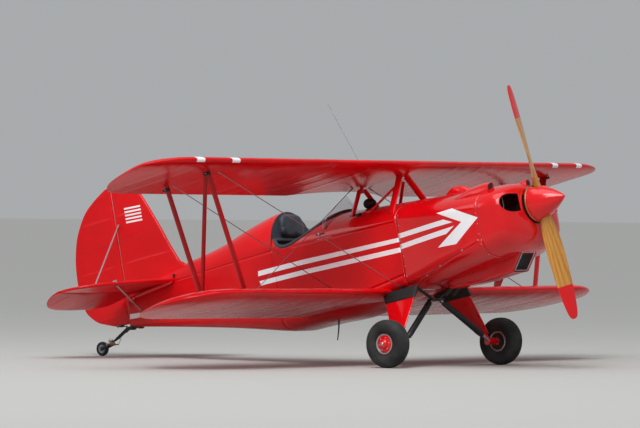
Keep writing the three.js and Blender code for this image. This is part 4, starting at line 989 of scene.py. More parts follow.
# Wings
wing = {
    "upperSpan": 5.970,
    "lowerSpan": 5.480,
    "chord": 0.920,
    "thick": 0.115,
    "camber": 0.022,
    "tip": 0.500,
    "end": 0.012,  # where the last whole rib bay stops short of the tip
    "root": 0.150,
    "upperNose": (0.095, 0.577),
    "upperSweep": 5.2,
    "upperDihedral": 1.35,
    "upperIncidence": 4.9,
    "upperRake": 0.21,
    "lowerNose": (-0.184, -0.448),
    "lowerIncidence": 2.0,
    "lowerDihedral": 0.3,
    "cutoutHalf": 0.620,
    "cutoutDepth": 0.130,
    "ribPitch": 0.190,
    "tape": 0.014,  # half width of the tape over a rib
    "tapeRise": 0.0004,
    "sag": 0.0004,  # how far the cloth is pulled in between ribs
    "bands": (2.12, 2.51),  # white bands across the upper wing
    "band": 0.088,
}
aileron = {
    "inner": 1.000,
    "outer": 2.180,
    "hinge": 0.775,  # share of the chord
    "foremost": 0.70,
    "lift": 0.006,
    "nose": 0.030,
    "gap": 0.006,
    "lugs": (1.080, 1.590, 2.100),
}
frontSpar, rearSpar = 0.23, 0.72
uSteps = [(1 - cos(pi * k / 26)) / 2 for k in range(27)]


def tipShare(out, span):  # share of the chord that the rounded tip leaves
    f = min(max(0, (out - (span / 2 - wing["tip"])) / wing["tip"]), 0.9995)
    return sqrt(1 - f * f)


def upperSection(y):  # x and z of the nose, chord, thickness and incidence
    out, tilt = abs(y), wing["upperIncidence"]
    share = tipShare(out, wing["upperSpan"])
    cut = 0
    if out < wing["cutoutHalf"]:
        cut = wing["cutoutDepth"] * cos(out / wing["cutoutHalf"] * pi / 2) ** 0.8
    chord = (wing["chord"] - cut) * share
    inset = wing["chord"] * (1 - share) * wing["upperRake"]
    x = wing["upperNose"][0] - out * tan(radians(wing["upperSweep"])) - inset
    z = wing["upperNose"][1] + out * tan(radians(wing["upperDihedral"])) - inset * sin(radians(tilt))
    return x, z, chord, wing["thick"] * wing["chord"] * share / chord, tilt


def lowerSection(y):
    out, tilt = abs(y), wing["lowerIncidence"]
    share = tipShare(out, wing["lowerSpan"])
    inset = wing["chord"] * (1 - share) / 2
    z = wing["lowerNose"][1] + out * tan(radians(wing["lowerDihedral"])) - inset * sin(radians(tilt))
    return wing["lowerNose"][0] - inset, z, wing["chord"] * share, wing["thick"], tilt


def onWing(section, y, share, lift=0.0):
    x, z, _, _, incidence = section(y)
    run = share * wing["chord"]
    return (x - run * cos(radians(incidence)), y, z - run * sin(radians(incidence)) + lift)


def clothLift(y, u):  # tape over each rib, and cloth pulled in between them
    bay = abs(y) / wing["ribPitch"]
    away = abs(bay - round(bay)) * wing["ribPitch"]
    tape = wing["tapeRise"] if away <= wing["tape"] else 0
    soft = rising(u, 0.10, 0.12) * rising(0.99 - u, 0, 0.12)
    between = rising(away, wing["tape"], wing["ribPitch"] - 2 * wing["tape"])
    return tape - wing["sag"] * soft * sin(pi * between) ** 0.8


def foilPoint(section, y, u, side):  # run behind the nose and height off the chord line
    _, _, chord, thick, _ = section(y)
    shape = 0.2969 * sqrt(u) - 0.126 * u - 0.3516 * u**2 + 0.2843 * u**3 - 0.1036 * u**4
    lift = clothLift(y, u) * min(1, chord / 0.3) * (1 if side > 0 else 0.4)  # undersides show their ribs less
    height = chord * (4 * wing["camber"] * u * (1 - u) + side * 5 * thick * shape)
    return chord * u, height + side * (0.0015 * u + lift)


def placed(section, y, run, height):
    x, z, _, _, incidence = section(y)
    c, s = cos(radians(incidence)), sin(radians(incidence))
    return (x - run * c + height * s, y, z - run * s + height * c)


def ribPlaces(start, end):  # span places at the edges of each tape and over the soft cloth beside it
    pitch, tape = wing["ribPitch"], wing["tape"]
    offsets = (-tape - 0.001, -tape, tape, tape + 0.001, 0.055, 0.075, 0.095, 0.115, 0.135)
    near = [k * pitch + d for k in range(int(start / pitch) - 1, int(end / pitch) + 2) for d in offsets]
    return sorted({start, end, *(round(y, 5) for y in near if start < y < end)})


def tipPlaces(half):
    return [half - wing["tip"] + wing["tip"] * sin(radians(a)) for a in (78, 82, 85, 87.2, 88.8)]


def foilRing(section, y, top=1, below=1, arc=()):
    upper = [foilPoint(section, y, u * top, 1) for u in uSteps[::-1]]
    lower = [foilPoint(section, y, u * below, -1) for u in uSteps[1:]]
    return [placed(section, y, *p) for p in [*upper, *lower, *arc]]


def fromHinge(y, u, side):  # run and height of the skin from the aileron's hinge
    run, height = foilPoint(lowerSection, y, u, side)
    return run - aileron["hinge"] * wing["chord"], height - aileron["lift"]


def meetHinge(y, side, radius):  # share of the chord where a circle about the hinge meets the skin
    for u in np.linspace(aileron["hinge"], aileron["foremost"], 300):
        if hypot(*fromHinge(y, u, side)) >= radius:
            return u
    return aileron["foremost"]


def hingeAngle(y, u, side):
    run, height = fromHinge(y, u, side)
    return atan2(height, run) % (2 * pi)


def hingeArc(radius, start, end):  # about the hinge, angles from straight back over the top
    hinge = aileron["hinge"] * wing["chord"]
    return [(hinge + radius * cos(t), aileron["lift"] + radius * sin(t)) for t in np.linspace(start, end, 12)]


def coveRing(y):
    radius = aileron["nose"] + aileron["gap"]
    top, below = meetHinge(y, 1, radius), meetHinge(y, -1, radius)
    arc = hingeArc(radius, hingeAngle(y, below, -1), hingeAngle(y, top, 1))[1:-1]
    return foilRing(lowerSection, y, top, below, arc)


def aileronRing(y):
    hinge, radius = aileron["hinge"], aileron["nose"]
    below = meetHinge(y, -1, radius)
    spread = [k / 14 for k in range(15)]
    upper = [foilPoint(lowerSection, y, 1 - s * (1 - hinge), 1) for s in spread]
    arc = hingeArc(radius, pi / 2, hingeAngle(y, below, -1))
    lower = [foilPoint(lowerSection, y, below + s * (1 - below), -1) for s in spread[1:]]
    return [placed(lowerSection, y, *p) for p in upper + arc + lower]


# Repaints a band of the upper skin between two span places, from just under the nose to the back
def paintBand(piece, y0, y1):
    shape = openMesh(piece.data)
    for y in (y0, y1):
        spans = ((f, [v.co.y for v in f.verts]) for f in shape.faces)
        cutFaces(shape, [f for f, ys in spans if min(ys) <= y <= max(ys)], (0, y, 0), abeam)
    for face in shape.faces:
        centre = face.calc_center_median()
        if y0 < centre.y < y1:
            x, z, chord, _, incidence = upperSection(centre.y)
            back = x - centre.x
            if centre.z > z - back * tan(radians(incidence)) or back / chord < 0.012:
                face.material_index = 1
    closeMesh(shape, piece.data)


def buildWings():
    half, tip = wing["upperSpan"] / 2, wing["tip"]
    port = {*ribPlaces(0.0, half - tip), *ribPlaces(half - tip, half - wing["end"]), *tipPlaces(half)}
    port = sorted(port)
    places = [-y for y in port[:0:-1]] + port
    upper = Sketch().loft([foilRing(upperSection, y) for y in places])
    upper = upper.draw("upper_wing_skin", redCloth, whiteEnamel)
    for middle in wing["bands"]:
        for side in (1, -1):
            paintBand(upper, side * middle - wing["band"] / 2, side * middle + wing["band"] / 2)
    park(upper, stands="upper_wing", slot="red_fabric", sharp=50)

    half = wing["lowerSpan"] / 2
    inner, outer = aileron["inner"] - aileron["gap"], aileron["outer"] + aileron["gap"]
    end = sorted({*ribPlaces(outer, half - wing["end"]), *tipPlaces(half)})
    fixed = Sketch().loft([foilRing(lowerSection, y) for y in ribPlaces(wing["root"], inner)])
    fixed.loft([coveRing(y) for y in ribPlaces(inner, outer)])
    fixed.loft([foilRing(lowerSection, y) for y in end])
    fixed.placeBoth("lower_wing_skin_", redCloth, stands="lower_wing_", slot="red_fabric", sharp=50)
    flap = Sketch().loft([aileronRing(y) for y in ribPlaces(aileron["inner"], aileron["outer"])])
    parking = {"body": "aileron_surface_", "stands": "aileron_", "slot": "red_fabric", "sharp": 50}
    flap.placeBoth("aileron_skin_", redCloth, **parking)
    lugs = Sketch()
    for y in aileron["lugs"]:
        x, _, z = onWing(lowerSection, y, aileron["hinge"], aileron["lift"])
        lugs.bar((x + 0.050, y, z), (x - 0.004, y, z), 0.020, 0.006, drop=0)
        lugs.tube([(x, y - 0.010, z), (x, y + 0.010, z)], 0.006)
    lugs.placeBoth("aileron_hinges_", wireSteel, slot="bare_steel")
    print("wings built")


# Struts: streamline tubes, welded and painted
strut = {
    "footY": 1.915,
    "headY": 2.250,
    "chord": 0.050,
    "thick": 0.019,
    "lugUp": 0.08,  # where the diagonal meets the rear strut, as a share of its length
    "apart": 0.030,  # each cabane head from the centre plane
    "diagonalFoot": (-0.462, 0.268, 0.180),
}
cabanes = (  # name, foot, chord, thickness
    ("front", (-0.070, 0.298, 0.176), 0.070, 0.024),
    ("rear", (-0.537, 0.240, 0.232), 0.050, 0.022),
)


def buildStruts():
    spars = (frontSpar, rearSpar)
    feet = [onWing(lowerSection, strut["footY"], share, 0.020) for share in spars]
    heads = [onWing(upperSection, strut["headY"], share, 0.010) for share in spars]
    chord, thick = strut["chord"], strut["thick"]
    bay = Sketch()
    for foot, head in zip(feet, heads):
        bay.bar(foot, head, chord, thick)
    lug = Vector(feet[1]).lerp(Vector(heads[1]), strut["lugUp"])
    bay.bar(lug, heads[0], 0.8 * chord, 0.85 * thick)
    # the interplane struts' darker red is painted shade
    bay.placeBoth("interplane_struts_", shadedStrutRed, stands="interplane_strut_", slot="red_metal")

    for (name, foot, chord, thick), share in zip(cabanes, spars):
        top = Vector(onWing(upperSection, 0, share, -0.056))
        legs = Sketch().bar(foot, (top.x, strut["apart"], top.z + 0.030), chord, thick)
        if name == "front":
            legs.bar(strut["diagonalFoot"], (top.x - 0.020, 0.024, top.z - 0.034), 0.030, 0.018)
        legs.mirror()
        legs.bar(top, top + Vector((0, 0, 0.060)), chord * 0.6, thick * 1.6)
        legs.place("cabane_" + name, redMetal, stands="cabane_strut_" + name, slot="red_metal")
    print("struts built")


# Wires: flat streamline rods with a threaded end and a fork at each wing. Inner ends of the flying wires
wire = {"front": (-0.060, 0.300, -0.452), "rear": (-0.640, 0.300, -0.430), "outY": 2.190}


def buildWires():
    runs = {
        "flying_wire_front": (onWing(upperSection, wire["outY"], frontSpar), wire["front"]),
        "flying_wire_rear": (onWing(upperSection, wire["outY"], rearSpar), wire["rear"]),
        "landing_wire": (
            onWing(lowerSection, 1.860, frontSpar, 0.020),
            onWing(upperSection, 0.090, rearSpar),
        ),
    }
    for name, (outer, inner) in runs.items():
        a, b = Vector(outer), Vector(inner)
        along = (b - a).normalized()
        rod = Sketch().bar(a, b, 0.010, 0.0045, 0, 12, 0)
        for end, way in ((a, along), (b, -along)):
            rod.tube([end + way * 0.045, end + way * 0.115], 0.0042, sides=10)
            rod.bar(end + way * 0.015, end + way * 0.060, 0.018, 0.010, 0, 12, 0)
        rod.placeBoth(name + "_rod_", wireSteel, stands=name + "_", slot="bare_steel")
    print("wires built")


# Tail surfaces. Columns: height or span, leading edge, trailing edge, nose thickness, tail thickness
postX, tailHingeX, tailZ = -3.335, -3.170, 0.165
finRows = [
    (0.150, -2.480, -3.311, 0.040, 0.030),
    (0.287, -2.590, -3.311, 0.038, 0.030),
    (0.330, -2.655, -3.311, 0.036, 0.030),
    (0.700, -2.832, -3.311, 0.032, 0.026),
    (0.960, -2.962, -3.311, 0.028, 0.024),
    (1.040, -3.018, -3.311, 0.026, 0.022),
    (1.088, -3.075, -3.311, 0.024, 0.020),
    (1.114, -3.130, -3.311, 0.022, 0.020),
    (1.128, -3.190, -3.311, 0.020, 0.018),
]
rudderRows = [
    (-0.088, -3.329, -3.420, 0.022, 0.008),
    (-0.080, -3.321, -3.495, 0.026, 0.008),
    (-0.058, -3.321, -3.560, 0.028, 0.008),
    (-0.014, -3.321, -3.680, 0.028, 0.008),
    (0.060, -3.321, -3.774, 0.028, 0.008),
    (0.123, -3.321, -3.818, 0.028, 0.008),
    (0.300, -3.321, -3.854, 0.028, 0.008),
    (0.517, -3.321, -3.848, 0.027, 0.008),
    (0.680, -3.321, -3.812, 0.026, 0.008),
    (0.803, -3.321, -3.760, 0.025, 0.008),
    (0.960, -3.321, -3.640, 0.024, 0.008),
    (1.040, -3.321, -3.520, 0.023, 0.008),
    (1.096, -3.321, -3.410, 0.021, 0.008),
    (1.114, -3.329, -3.368, 0.018, 0.008),
]
stabRows = [
    (0.000, -2.640, -3.144, 0.036, 0.026),
    (0.150, -2.652, -3.144, 0.036, 0.026),
    (0.400, -2.696, -3.144, 0.034, 0.026),
    (0.700, -2.792, -3.144, 0.032, 0.026),
    (0.870, -2.862, -3.144, 0.030, 0.024),
    (0.965, -2.938, -3.144, 0.026, 0.022),
    (1.024, -3.020, -3.144, 0.022, 0.020),
    (1.050, -3.085, -3.144, 0.020, 0.018),
]
elevatorRows = [
    (0.064, -3.156, -3.420, 0.028, 0.008),
    (0.120, -3.156, -3.500, 0.028, 0.008),
    (0.300, -3.156, -3.552, 0.028, 0.008),
    (0.600, -3.156, -3.560, 0.028, 0.008),
    (0.800, -3.156, -3.520, 0.026, 0.008),
    (0.930, -3.156, -3.430, 0.024, 0.008),
    (1.010, -3.156, -3.325, 0.022, 0.008),
    (1.050, -3.156, -3.235, 0.020, 0.008),
]
tail = {
    "ribs": 0.210,
    "tape": 0.010,
    "rise": 0.0005,
    "sag": 0.0008,
    "drooped": 12,
    "rudderHinges": (0.030, 0.430, 0.930),
    "elevatorHinges": (0.240, 0.620, 0.960),
    "tube": 0.090,  # half length of the elevator's torque tube
}
braces = (  # name, inner end, outer end
    ("tail_brace_upper", (-3.280, 0.008, 0.778), (-3.050, 0.726, tailZ)),
    ("tail_brace_lower", (-3.140, 0.046, -0.012), (-2.825, 0.695, tailZ)),
)


def flatRing(row, shrink, squeeze, place, ripple):
    w, front, back, nose, end = row
    front, back = front - shrink, back + shrink
    noseR, endR = nose / 2 * squeeze, end / 2 * squeeze
    x0, x1 = front - nose / 2, back + end / 2
    bow = lambda x, deep, high, a: (x + deep * cos(radians(a)), high * sin(radians(a)))
    points = [bow(x0, nose / 2, noseR, a) for a in np.linspace(-90, 90, 11)]
    flats = np.linspace(0, 1, 12)[1:-1]
    upper = [(x0 + (x1 - x0) * s, noseR + (endR - noseR) * s + ripple * sin(pi * s) ** 0.6) for s in flats]
    points += upper + [bow(x1, end / 2, endR, a) for a in np.linspace(90, 270, 7)]
    return [place(u, v, w) for u, v in points + [(u, -v) for u, v in upper[::-1]]]


def flatSurface(rows, place, roundStart=False):
    low, high, radius = rows[0][0], rows[-1][0], rows[-1][3] / 2
    pitch, tape = tail["ribs"], tail["tape"]
    first, last = low + (radius if roundStart else 0), high - radius
    spots = set(steps(first, last, 0.03))
    for k in range(int(low / pitch) - 1, int(high / pitch) + 2):
        spots |= {k * pitch + d for d in (-tape - 0.001, -tape, tape, tape + 0.001)}
    rounding = [radians(a) for a in (15, 35, 60, 85)]
    rounded = lambda at, t: flatRing(rowAt(rows, at), radius * (1 - cos(t)), cos(t), place, 0)
    rings = [rounded(first - radius * sin(t), t) for t in rounding[::-1]] if roundStart else []
    for w in sorted(s for s in spots if first <= s <= last):
        away = abs(w / pitch - round(w / pitch)) * pitch
        ripple = tail["rise"] if away <= tape else -tail["sag"] * sin(pi * (away - tape) / (pitch - 2 * tape))
        rings.append(flatRing(rowAt(rows, w), 0, 1, place, ripple))
    return rings + [rounded(last + radius * sin(t), t) for t in rounding]


upright = lambda u, v, w: (u, v, w)
level = lambda u, v, w: (u, w, tailZ + v)


def drooped(point):
    x, y, z = point
    t = radians(tail["drooped"])
    u, v = x - tailHingeX, z - tailZ
    return (tailHingeX + u * cos(t) - v * sin(t), y, tailZ + u * sin(t) + v * cos(t))


def buildTail():
    fin = Sketch().loft(flatSurface(finRows, upright)).draw("fin_skin", redCloth, whiteEnamel)
    for outline in finStripes:
        inOutline(fin, outline, mark=1)
    park(fin, stands="fin", slot="red_fabric", sharp=40)
    cloth = {"slot": "red_fabric", "sharp": 40}
    rudder = Sketch().loft(flatSurface(rudderRows, upright, roundStart=True))
    rudder.place("rudder_skin", redCloth, body="rudder_surface", stands="rudder", **cloth)
    half = Sketch().loft(flatSurface(stabRows, level))
    half.placeBoth("stabiliser_skin_", redCloth, stands="stabiliser_", **cloth)
    rings = flatSurface(elevatorRows, level, roundStart=True)
    moving = Sketch().loft([[drooped(p) for p in ring] for ring in rings]).mirror()
    moving.tube([(tailHingeX, y, tailZ) for y in (-tail["tube"], tail["tube"])], 0.011, sides=24)
    moving.place("elevator_skin", redCloth, body="elevator_surface", stands="elevator", **cloth)

    hinges = Sketch()
    for z in tail["rudderHinges"]:
        hinges.tube([(postX, 0, z - 0.012), (postX, 0, z + 0.012)], 0.008, sides=16)
        hinges.bar((postX + 0.002, 0, z), (postX + 0.030, 0, z), 0.016, 0.006, drop=0)
    for y in tail["elevatorHinges"]:
        for side in (1, -1):
            ends = [(tailHingeX, side * v, tailZ) for v in (y - 0.012, y + 0.012)]
            hinges.tube(ends, 0.008, sides=16)
            ends = [(tailHingeX + u, side * y, tailZ) for u in (0.002, 0.034)]
            hinges.bar(*ends, 0.016, 0.006, drop=0)
    hinges.place("tail_hinges", wireSteel, slot="bare_steel")

    for name, inner, outer in braces:
        brace = Sketch().bar(inner, outer, 0.017, 0.006, 0, 16, 0)
        along = (Vector(outer) - Vector(inner)).normalized() * 0.05
        for end, reach in ((Vector(inner), along), (Vector(outer), -along)):
            brace.bar(end, end + reach, 0.022, 0.010, 0, 12, 0)
        brace.placeBoth(name + "_rod_", paleAlloy, stands=name + "_", slot="bare_steel")
    print("tail built")


# Main gear. Columns: z, y, rear edge, front edge, thickness
legRows = [
    (-0.472, 0.330, -0.250, 0.096, 0.030),
    (-0.500, 0.344, -0.236, 0.097, 0.030),
    (-0.700, 0.471, -0.131, 0.080, 0.028),
    (-0.850, 0.567, -0.053, 0.066, 0.026),
    (-0.862, 0.575, -0.044, 0.062, 0.026),
]
bootRows = (  # z and thickness over the leg, of a ribbed boot
    (-0.548, 0.003),
    (-0.545, 0.007),
    (-0.525, 0.010),
    (-0.505, 0.007),
    (-0.488, 0.012),
    (-0.470, 0.008),
    (-0.452, 0.011),
)
gear = {
    "axle": (0.040, 0.755, -0.925),
    "tyre": 0.198,
    "width": 0.145,
    "bead": 0.082,
    "grooves": (0.010, 0.031, 0.050),  # from the middle of the tread
    "vee": (0.016, 0.066, -0.564),  # top of each shock strut
    "shockFoot": (0.064, 0.566, -0.924),
    "coils": 24,
    "plate": (0.084, -0.560),  # half length and height of the cross plate
    "bolts": 6,
}
hubRows = (  # radius and run of the disc, from its inner face to its outer
    (0.0156, -0.048),
    (0.030, -0.048),
    (0.034, -0.030),
    (0.070, -0.038),
    (0.072, -0.044),
    (0.072, 0.040),
    (0.068, 0.043),
    (0.060, 0.048),
    (0.044, 0.055),
    (0.040, 0.062),
    (0.034, 0.069),
    (0.030, 0.072),
    (0.0156, 0.072),
)


def legRing(z, grow=0.0):
    _, y, rear, front, thickness = rowAt(legRows, z)
    half, middle = (front - rear) / 2 + grow, (front + rear) / 2
    ring = []
    for t in turns(40):
        u, v = bulge(cos(t), 0.85), bulge(sin(t), 0.8)
        ring.append((middle + half * u, y + (thickness / 2 + grow) * v * (1 + 0.15 * u), z))
    return ring


def tyreProfile():
    middle, depth = (gear["tyre"] + gear["bead"]) / 2, (gear["tyre"] - gear["bead"]) / 2
    profile = []
    for t in turns(132):
        radius, run = middle + depth * bulge(cos(t), 0.9), gear["width"] / 2 * bulge(sin(t), 0.75)
        grooved = radius > middle and any(abs(abs(run) - g) < 0.0035 for g in gear["grooves"])
        profile.append((radius - (0.0045 if grooved else 0), run))
    return profile


def hubSketch():
    (x, y, z), bead = gear["axle"], gear["bead"]
    hub = Sketch()
    spun = lambda profile, sides, mark: hub.lathe(profile, gear["axle"], abeam, sides, mark, around=True)
    spun(hubRows, 72, 0)
    for side in (1, -1):
        flange = ((-0.012, 0.040), (-0.010, 0.049), (-0.004, 0.052), (0.003, 0.050), (-0.001, 0.038))
        spun([(bead + d, side * run) for d, run in flange], 72, 1)
    band = ((-0.002, -0.040), (-0.002, 0.040), (-0.006, 0.040), (-0.006, -0.040))
    spun([(bead + d, run) for d, run in band], 72, 0)
    brake = ((0.030, -0.0520), (0.068, -0.0520), (0.069, -0.0505), (0.068, -0.0490), (0.030, -0.0490))
    spun(brake, 64, 2)
    for t in turns(gear["bolts"]):
        spot = (x + 0.052 * cos(t), y + 0.0505, z + 0.052 * sin(t))
        hub.lathe([(0.0045, 0), (0.0045, 0.004), (0.003, 0.005)], spot, abeam, 6, 1)
    return hub.lathe([(0.013, 0.069), (0.013, 0.078), (0.010, 0.081)], gear["axle"], abeam, 24, 1)


def buildGear():
    ax, ay, az = gear["axle"]
    leg = Sketch().loft([legRing(z) for z in steps(-0.862, -0.472, 0.02)])
    leg.tube([(0.018, 0.566, -0.850), (ax, 0.592, az)], 0.021, sides=24)
    leg.tube([(ax, 0.566, az), (ax, 0.6725, az)], 0.030, sides=32)
    leg.tube([(ax, 0.600, az), (ax, ay + 0.076, az)], 0.015, 1, sides=24)
    leg.placeBoth("leg_", redMetal, wireSteel, stands="gear_leg_", slot="red_metal")
    boot = Sketch().loft([legRing(z, grow) for z, grow in bootRows])
    boot.placeBoth("leg_boot_", blackNeoprene, slot="padding")

    at = lambda share: Vector(gear["vee"]).lerp(Vector(gear["shockFoot"]), share)
    shock = Sketch().tube([at(0.0), at(1.0)], 0.011, 1, 20)
    shock.tube([at(s) for s in (0.05, 0.06, 0.84, 0.86)], [0.020, 0.024, 0.024, 0.016], 0, 28)
    for k in range(gear["coils"]):
        share = 0.09 + k * 0.030
        shock.tube([at(share), at(share + 0.006)], 0.0262, 0, 28)
    shock.placeBoth("shock_", blackCoat, wireSteel, stands="shock_strut_", slot="black_steel")

    tyre = Sketch().lathe(tyreProfile(), gear["axle"], abeam, 96, around=True)
    tyre.placeBoth("tyre_tread_", rubber, body="main_wheel_", stands="tyre_", slot="tyre_rubber")
    metals = (redMetal, paleAlloy, burntSteel)
    hubSketch().placeBoth("wheel_disc_", *metals, body="main_wheel_", stands="wheel_", slot="red_metal")
    x, (half, z) = gear["vee"][0], gear["plate"]
    vee = Sketch().block((x - 0.026, -half, z - 0.008), (x + 0.026, half, z + 0.008))
    for side in (1, -1):
        vee.tube([(x, side * 0.250, -0.440), (x, side * 0.024, z)], 0.013, sides=20)
    vee.place("gear_cross_tubes", blackCoat, stands="gear_vee", slot="black_steel")
    print("gear built")


# Tail wheel: three leaves, a swivelling fork and a small solid-tyred wheel. Places on the level airframe
tailWheel = {
    "x": -3.690,
    "radius": 0.062,
    "width": 0.040,
    "rise": 0.036,
    "swivel": -3.568,
    "horn": 0.074,  # half width of the steering arm
    "cheek": 0.027,  # each fork arm from the centre plane
    "leaf": (0.019, 0.0075, 0.0085),  # half width, thickness, pitch
    "clamps": ((-3.318, -3.290, -0.146, -0.108), (-3.225, -3.200, -0.152, -0.112)),  # x and z
}


def groundHeight(x, above):  # height on the level airframe of a point above the ground it parks on
    lean = radians(parked["noseUp"])
    ground = parked["axle"][0] * sin(lean) + parked["axle"][1] * cos(lean) - gear["tyre"]
    return (ground + above - x * sin(lean)) / cos(lean)


# A table's points joined by a smooth line
def smoothLine(points, share):
    table = [Vector((*p, 0)) for p in points]
    line = []
    for i in range(len(table) - 1):
        before, after = table[max(i - 1, 0)], table[min(i + 2, len(table) - 1)]
        p, q = table[i], table[i + 1]
        for t in (k / share for k in range(share)):
            pull = (q - before) * 0.5 * (t**3 - 2 * t**2 + t) + (after - p) * 0.5 * (t**3 - t**2)
            line.append(p * (2 * t**3 - 3 * t**2 + 1) + q * (3 * t**2 - 2 * t**3) + pull)
    return [(p.x, p.y) for p in [*line, table[-1]]]


def leafRing(x, top, low):  # a leaf's section with its corners eased
    half, edge = tailWheel["leaf"][0], 0.001
    port = [(half - edge, low), (half, low + edge), (half, top - edge), (half - edge, top)]
    return [(x, y, z) for y, z in port + [(-y, z) for y, z in port[::-1]]]


def buildTailWheel():
    middle = groundHeight(tailWheel["x"], tailWheel["radius"])
    up = Vector((sin(radians(parked["noseUp"])), 0, cos(radians(parked["noseUp"]))))
    swivel = Vector((tailWheel["swivel"], 0, middle + tailWheel["rise"]))
    at = lambda down: swivel - up * down
    wheel = Vector((tailWheel["x"], 0, middle))
    profile = []
    for t in turns(64):
        radius = tailWheel["radius"] * (0.78 + 0.22 * bulge(cos(t), 0.9))
        run = tailWheel["width"] / 2 * bulge(sin(t), 0.7)
        grooved = cos(t) > 0.3 and abs(run) < 0.0015
        profile.append((radius - (0.002 if grooved else 0), run))
    roller = Sketch().lathe(profile, wheel, abeam, 64, around=True)
    inner = [(0.0064, -0.020), (0.016, -0.020), (0.018, -0.012), (0.040, -0.014)]
    outer = [(radius, -run) for radius, run in inner[::-1]]
    roller.lathe(inner + outer, wheel, abeam, 48, 1, around=True)
    parking = {"body": "tail_wheel_roller", "stands": "tail_wheel", "slot": "tyre_rubber"}
    roller.place("tail_tyre", rubber, castAlloy, **parking)

    fork = Sketch().tube([at(d) for d in (0.011, 0.013, 0.028, 0.030)], [0.030, 0.034, 0.034, 0.030], 1, 32)
    horn, cheek = Vector((0, tailWheel["horn"], 0)), tailWheel["cheek"]
    for side in (1, -1):
        axle = wheel + Vector((0, side * cheek, 0))
        fork.bar(at(0.020) + Vector((-0.012, side * cheek, 0)), axle, 0.024, 0.007, 0, 20, 0)
        fork.lathe([(0.014, -0.0035), (0.0155, -0.002), (0.0155, 0.002), (0.014, 0.0035)], axle, abeam, 28)
        nut = axle + Vector((0, side * 0.0035, 0))
        fork.lathe([(0.009, 0.0), (0.009, 0.005), (0.006, 0.008)], nut, (0, side, 0), 6, 2)
        end = at(0.023) + Vector((0.004, side * tailWheel["horn"], 0))
        fork.lathe([(0.006, -0.006), (0.006, 0.006)], end, up, 16, 2)
        coil = [end]  # the tension spring and its hook on the steering arm
        for k in range(61):
            t = 2 * pi * k / 10
            turn = (0.010 + 0.0006 * k + 0.005 * cos(t), 0.005 * sin(t), 0.004 + 0.0007 * k)
            coil.append(end + Vector(turn))
        fork.tube(coil, 0.0011, 2, 6)
    pin = Vector((0, 0.033, 0))
    fork.tube([wheel - pin, wheel + pin], 0.006, 2, 20)
    fork.bar(at(0.023) - horn, at(0.023) + horn, 0.020, 0.008, 0, 16, 0)
    parking = {"body": "tail_wheel_fork", "stands": "tail_fork", "slot": "black_steel"}
    fork.place("tail_fork_parts", blackCoat, bronze, wireSteel, **parking)

    spring = Sketch()
    line = [(-3.190, -0.120), (-3.345, -0.112), (-3.400, -0.130), (-3.500, -0.176)]
    line += [(-3.532, swivel.z + 0.010), (swivel.x - 0.018, swivel.z + 0.007)]
    _, thick, pitch = tailWheel["leaf"]
    for k, count in enumerate((6, 4, 3)):
        path = smoothLine(line[:count], 8)
        spring.loft([leafRing(x, z - pitch * k, z - pitch * k - thick) for x, z in path])
    for x0, x1, z0, z1 in tailWheel["clamps"]:
        spring.block((x0, -0.026, z0), (x1, 0.026, z1), 0, 0.003)
    spring.tube([at(-0.014), at(0.009)], 0.024, 1, 32)
    spring.lathe([(0.008, 0.0), (0.008, 0.006), (0.005, 0.009)], at(-0.014), up, 6, 2)
    spring.place("tail_leaves", blackCoat, bronze, wireSteel, stands="tail_spring", slot="black_steel")
    print("tail wheel built")


# Windshield: a bent sheet ahead of the cockpit
glass = {
    "front": -0.655,
    "sweep": 0.160,
    "lean": 0.095,
    "half": 0.300,
    "foot": 0.215,
    "rise": 0.490,
    "drop": 0.205,
    "thick": 0.0035,
}


def glassPoint(degrees, share, inset=0.0):
    c, s = cos(radians(degrees)), sin(radians(degrees))
    footX, footY = glass["front"] - glass["sweep"] * (1 - c), glass["half"] * s
    headX = glass["front"] - glass["lean"] - 0.45 * glass["sweep"] * (1 - c)
    headZ = glass["rise"] - glass["drop"] * abs(s) ** 1.15
    x = footX + (headX - footX) * share**1.25 - inset * c
    y = footY + (0.9 * footY - footY) * share - inset * s
    return (x, y, glass["foot"] + (headZ - glass["foot"]) * share)


def deckLine(degrees):  # share of the sheet's height where it meets the deck
    for share in np.linspace(0, 1, 200):
        x, y, z = glassPoint(degrees, share)
        row = rowAt(deckRows, x)
        if abs(y) >= row[1] - 0.002 or z > crownHeight(row, y) + 0.001:
            return share
    return 1


def buildWindshield():
    angles = np.linspace(-86, 86, 61)
    feet = [deckLine(a) for a in angles]
    sheet = []
    for a, foot in zip(angles, feet):
        shares = np.linspace(foot, 1, 18)
        back = [glassPoint(a, s, glass["thick"]) for s in shares[::-1]]
        sheet.append([glassPoint(a, s) for s in shares] + back)
    Sketch().loft(sheet).place("windshield_sheet", acrylic, stands="windshield", slot="clear_plastic")
    rise, fall = np.linspace(feet[0], 1, 12)[:-1], np.linspace(1, feet[-1], 12)[1:]
    route = [(angles[0], s) for s in rise] + [(a, 1) for a in angles] + [(angles[-1], s) for s in fall]
    edge = Sketch().tube([glassPoint(a, s, glass["thick"] / 2) for a, s in route], 0.0021, sides=10)
    edge.place("windshield_edge", acrylicEdge, slot="clear_plastic")
    print("windshield built")


# Fills a cushion out with a cloth simulation and keeps the result as plain mesh
swelling = {"voxel": 0.006, "pressure": 4, "frames": 20, "most": 0.006}


def keepResult(piece):
    bpy.context.view_layer.update()
    old = piece.data
    piece.data = bpy.data.meshes.new_from_object(piece.evaluated_get(bpy.context.evaluated_depsgraph_get()))
    piece.modifiers.clear()
    bpy.data.meshes.remove(old)


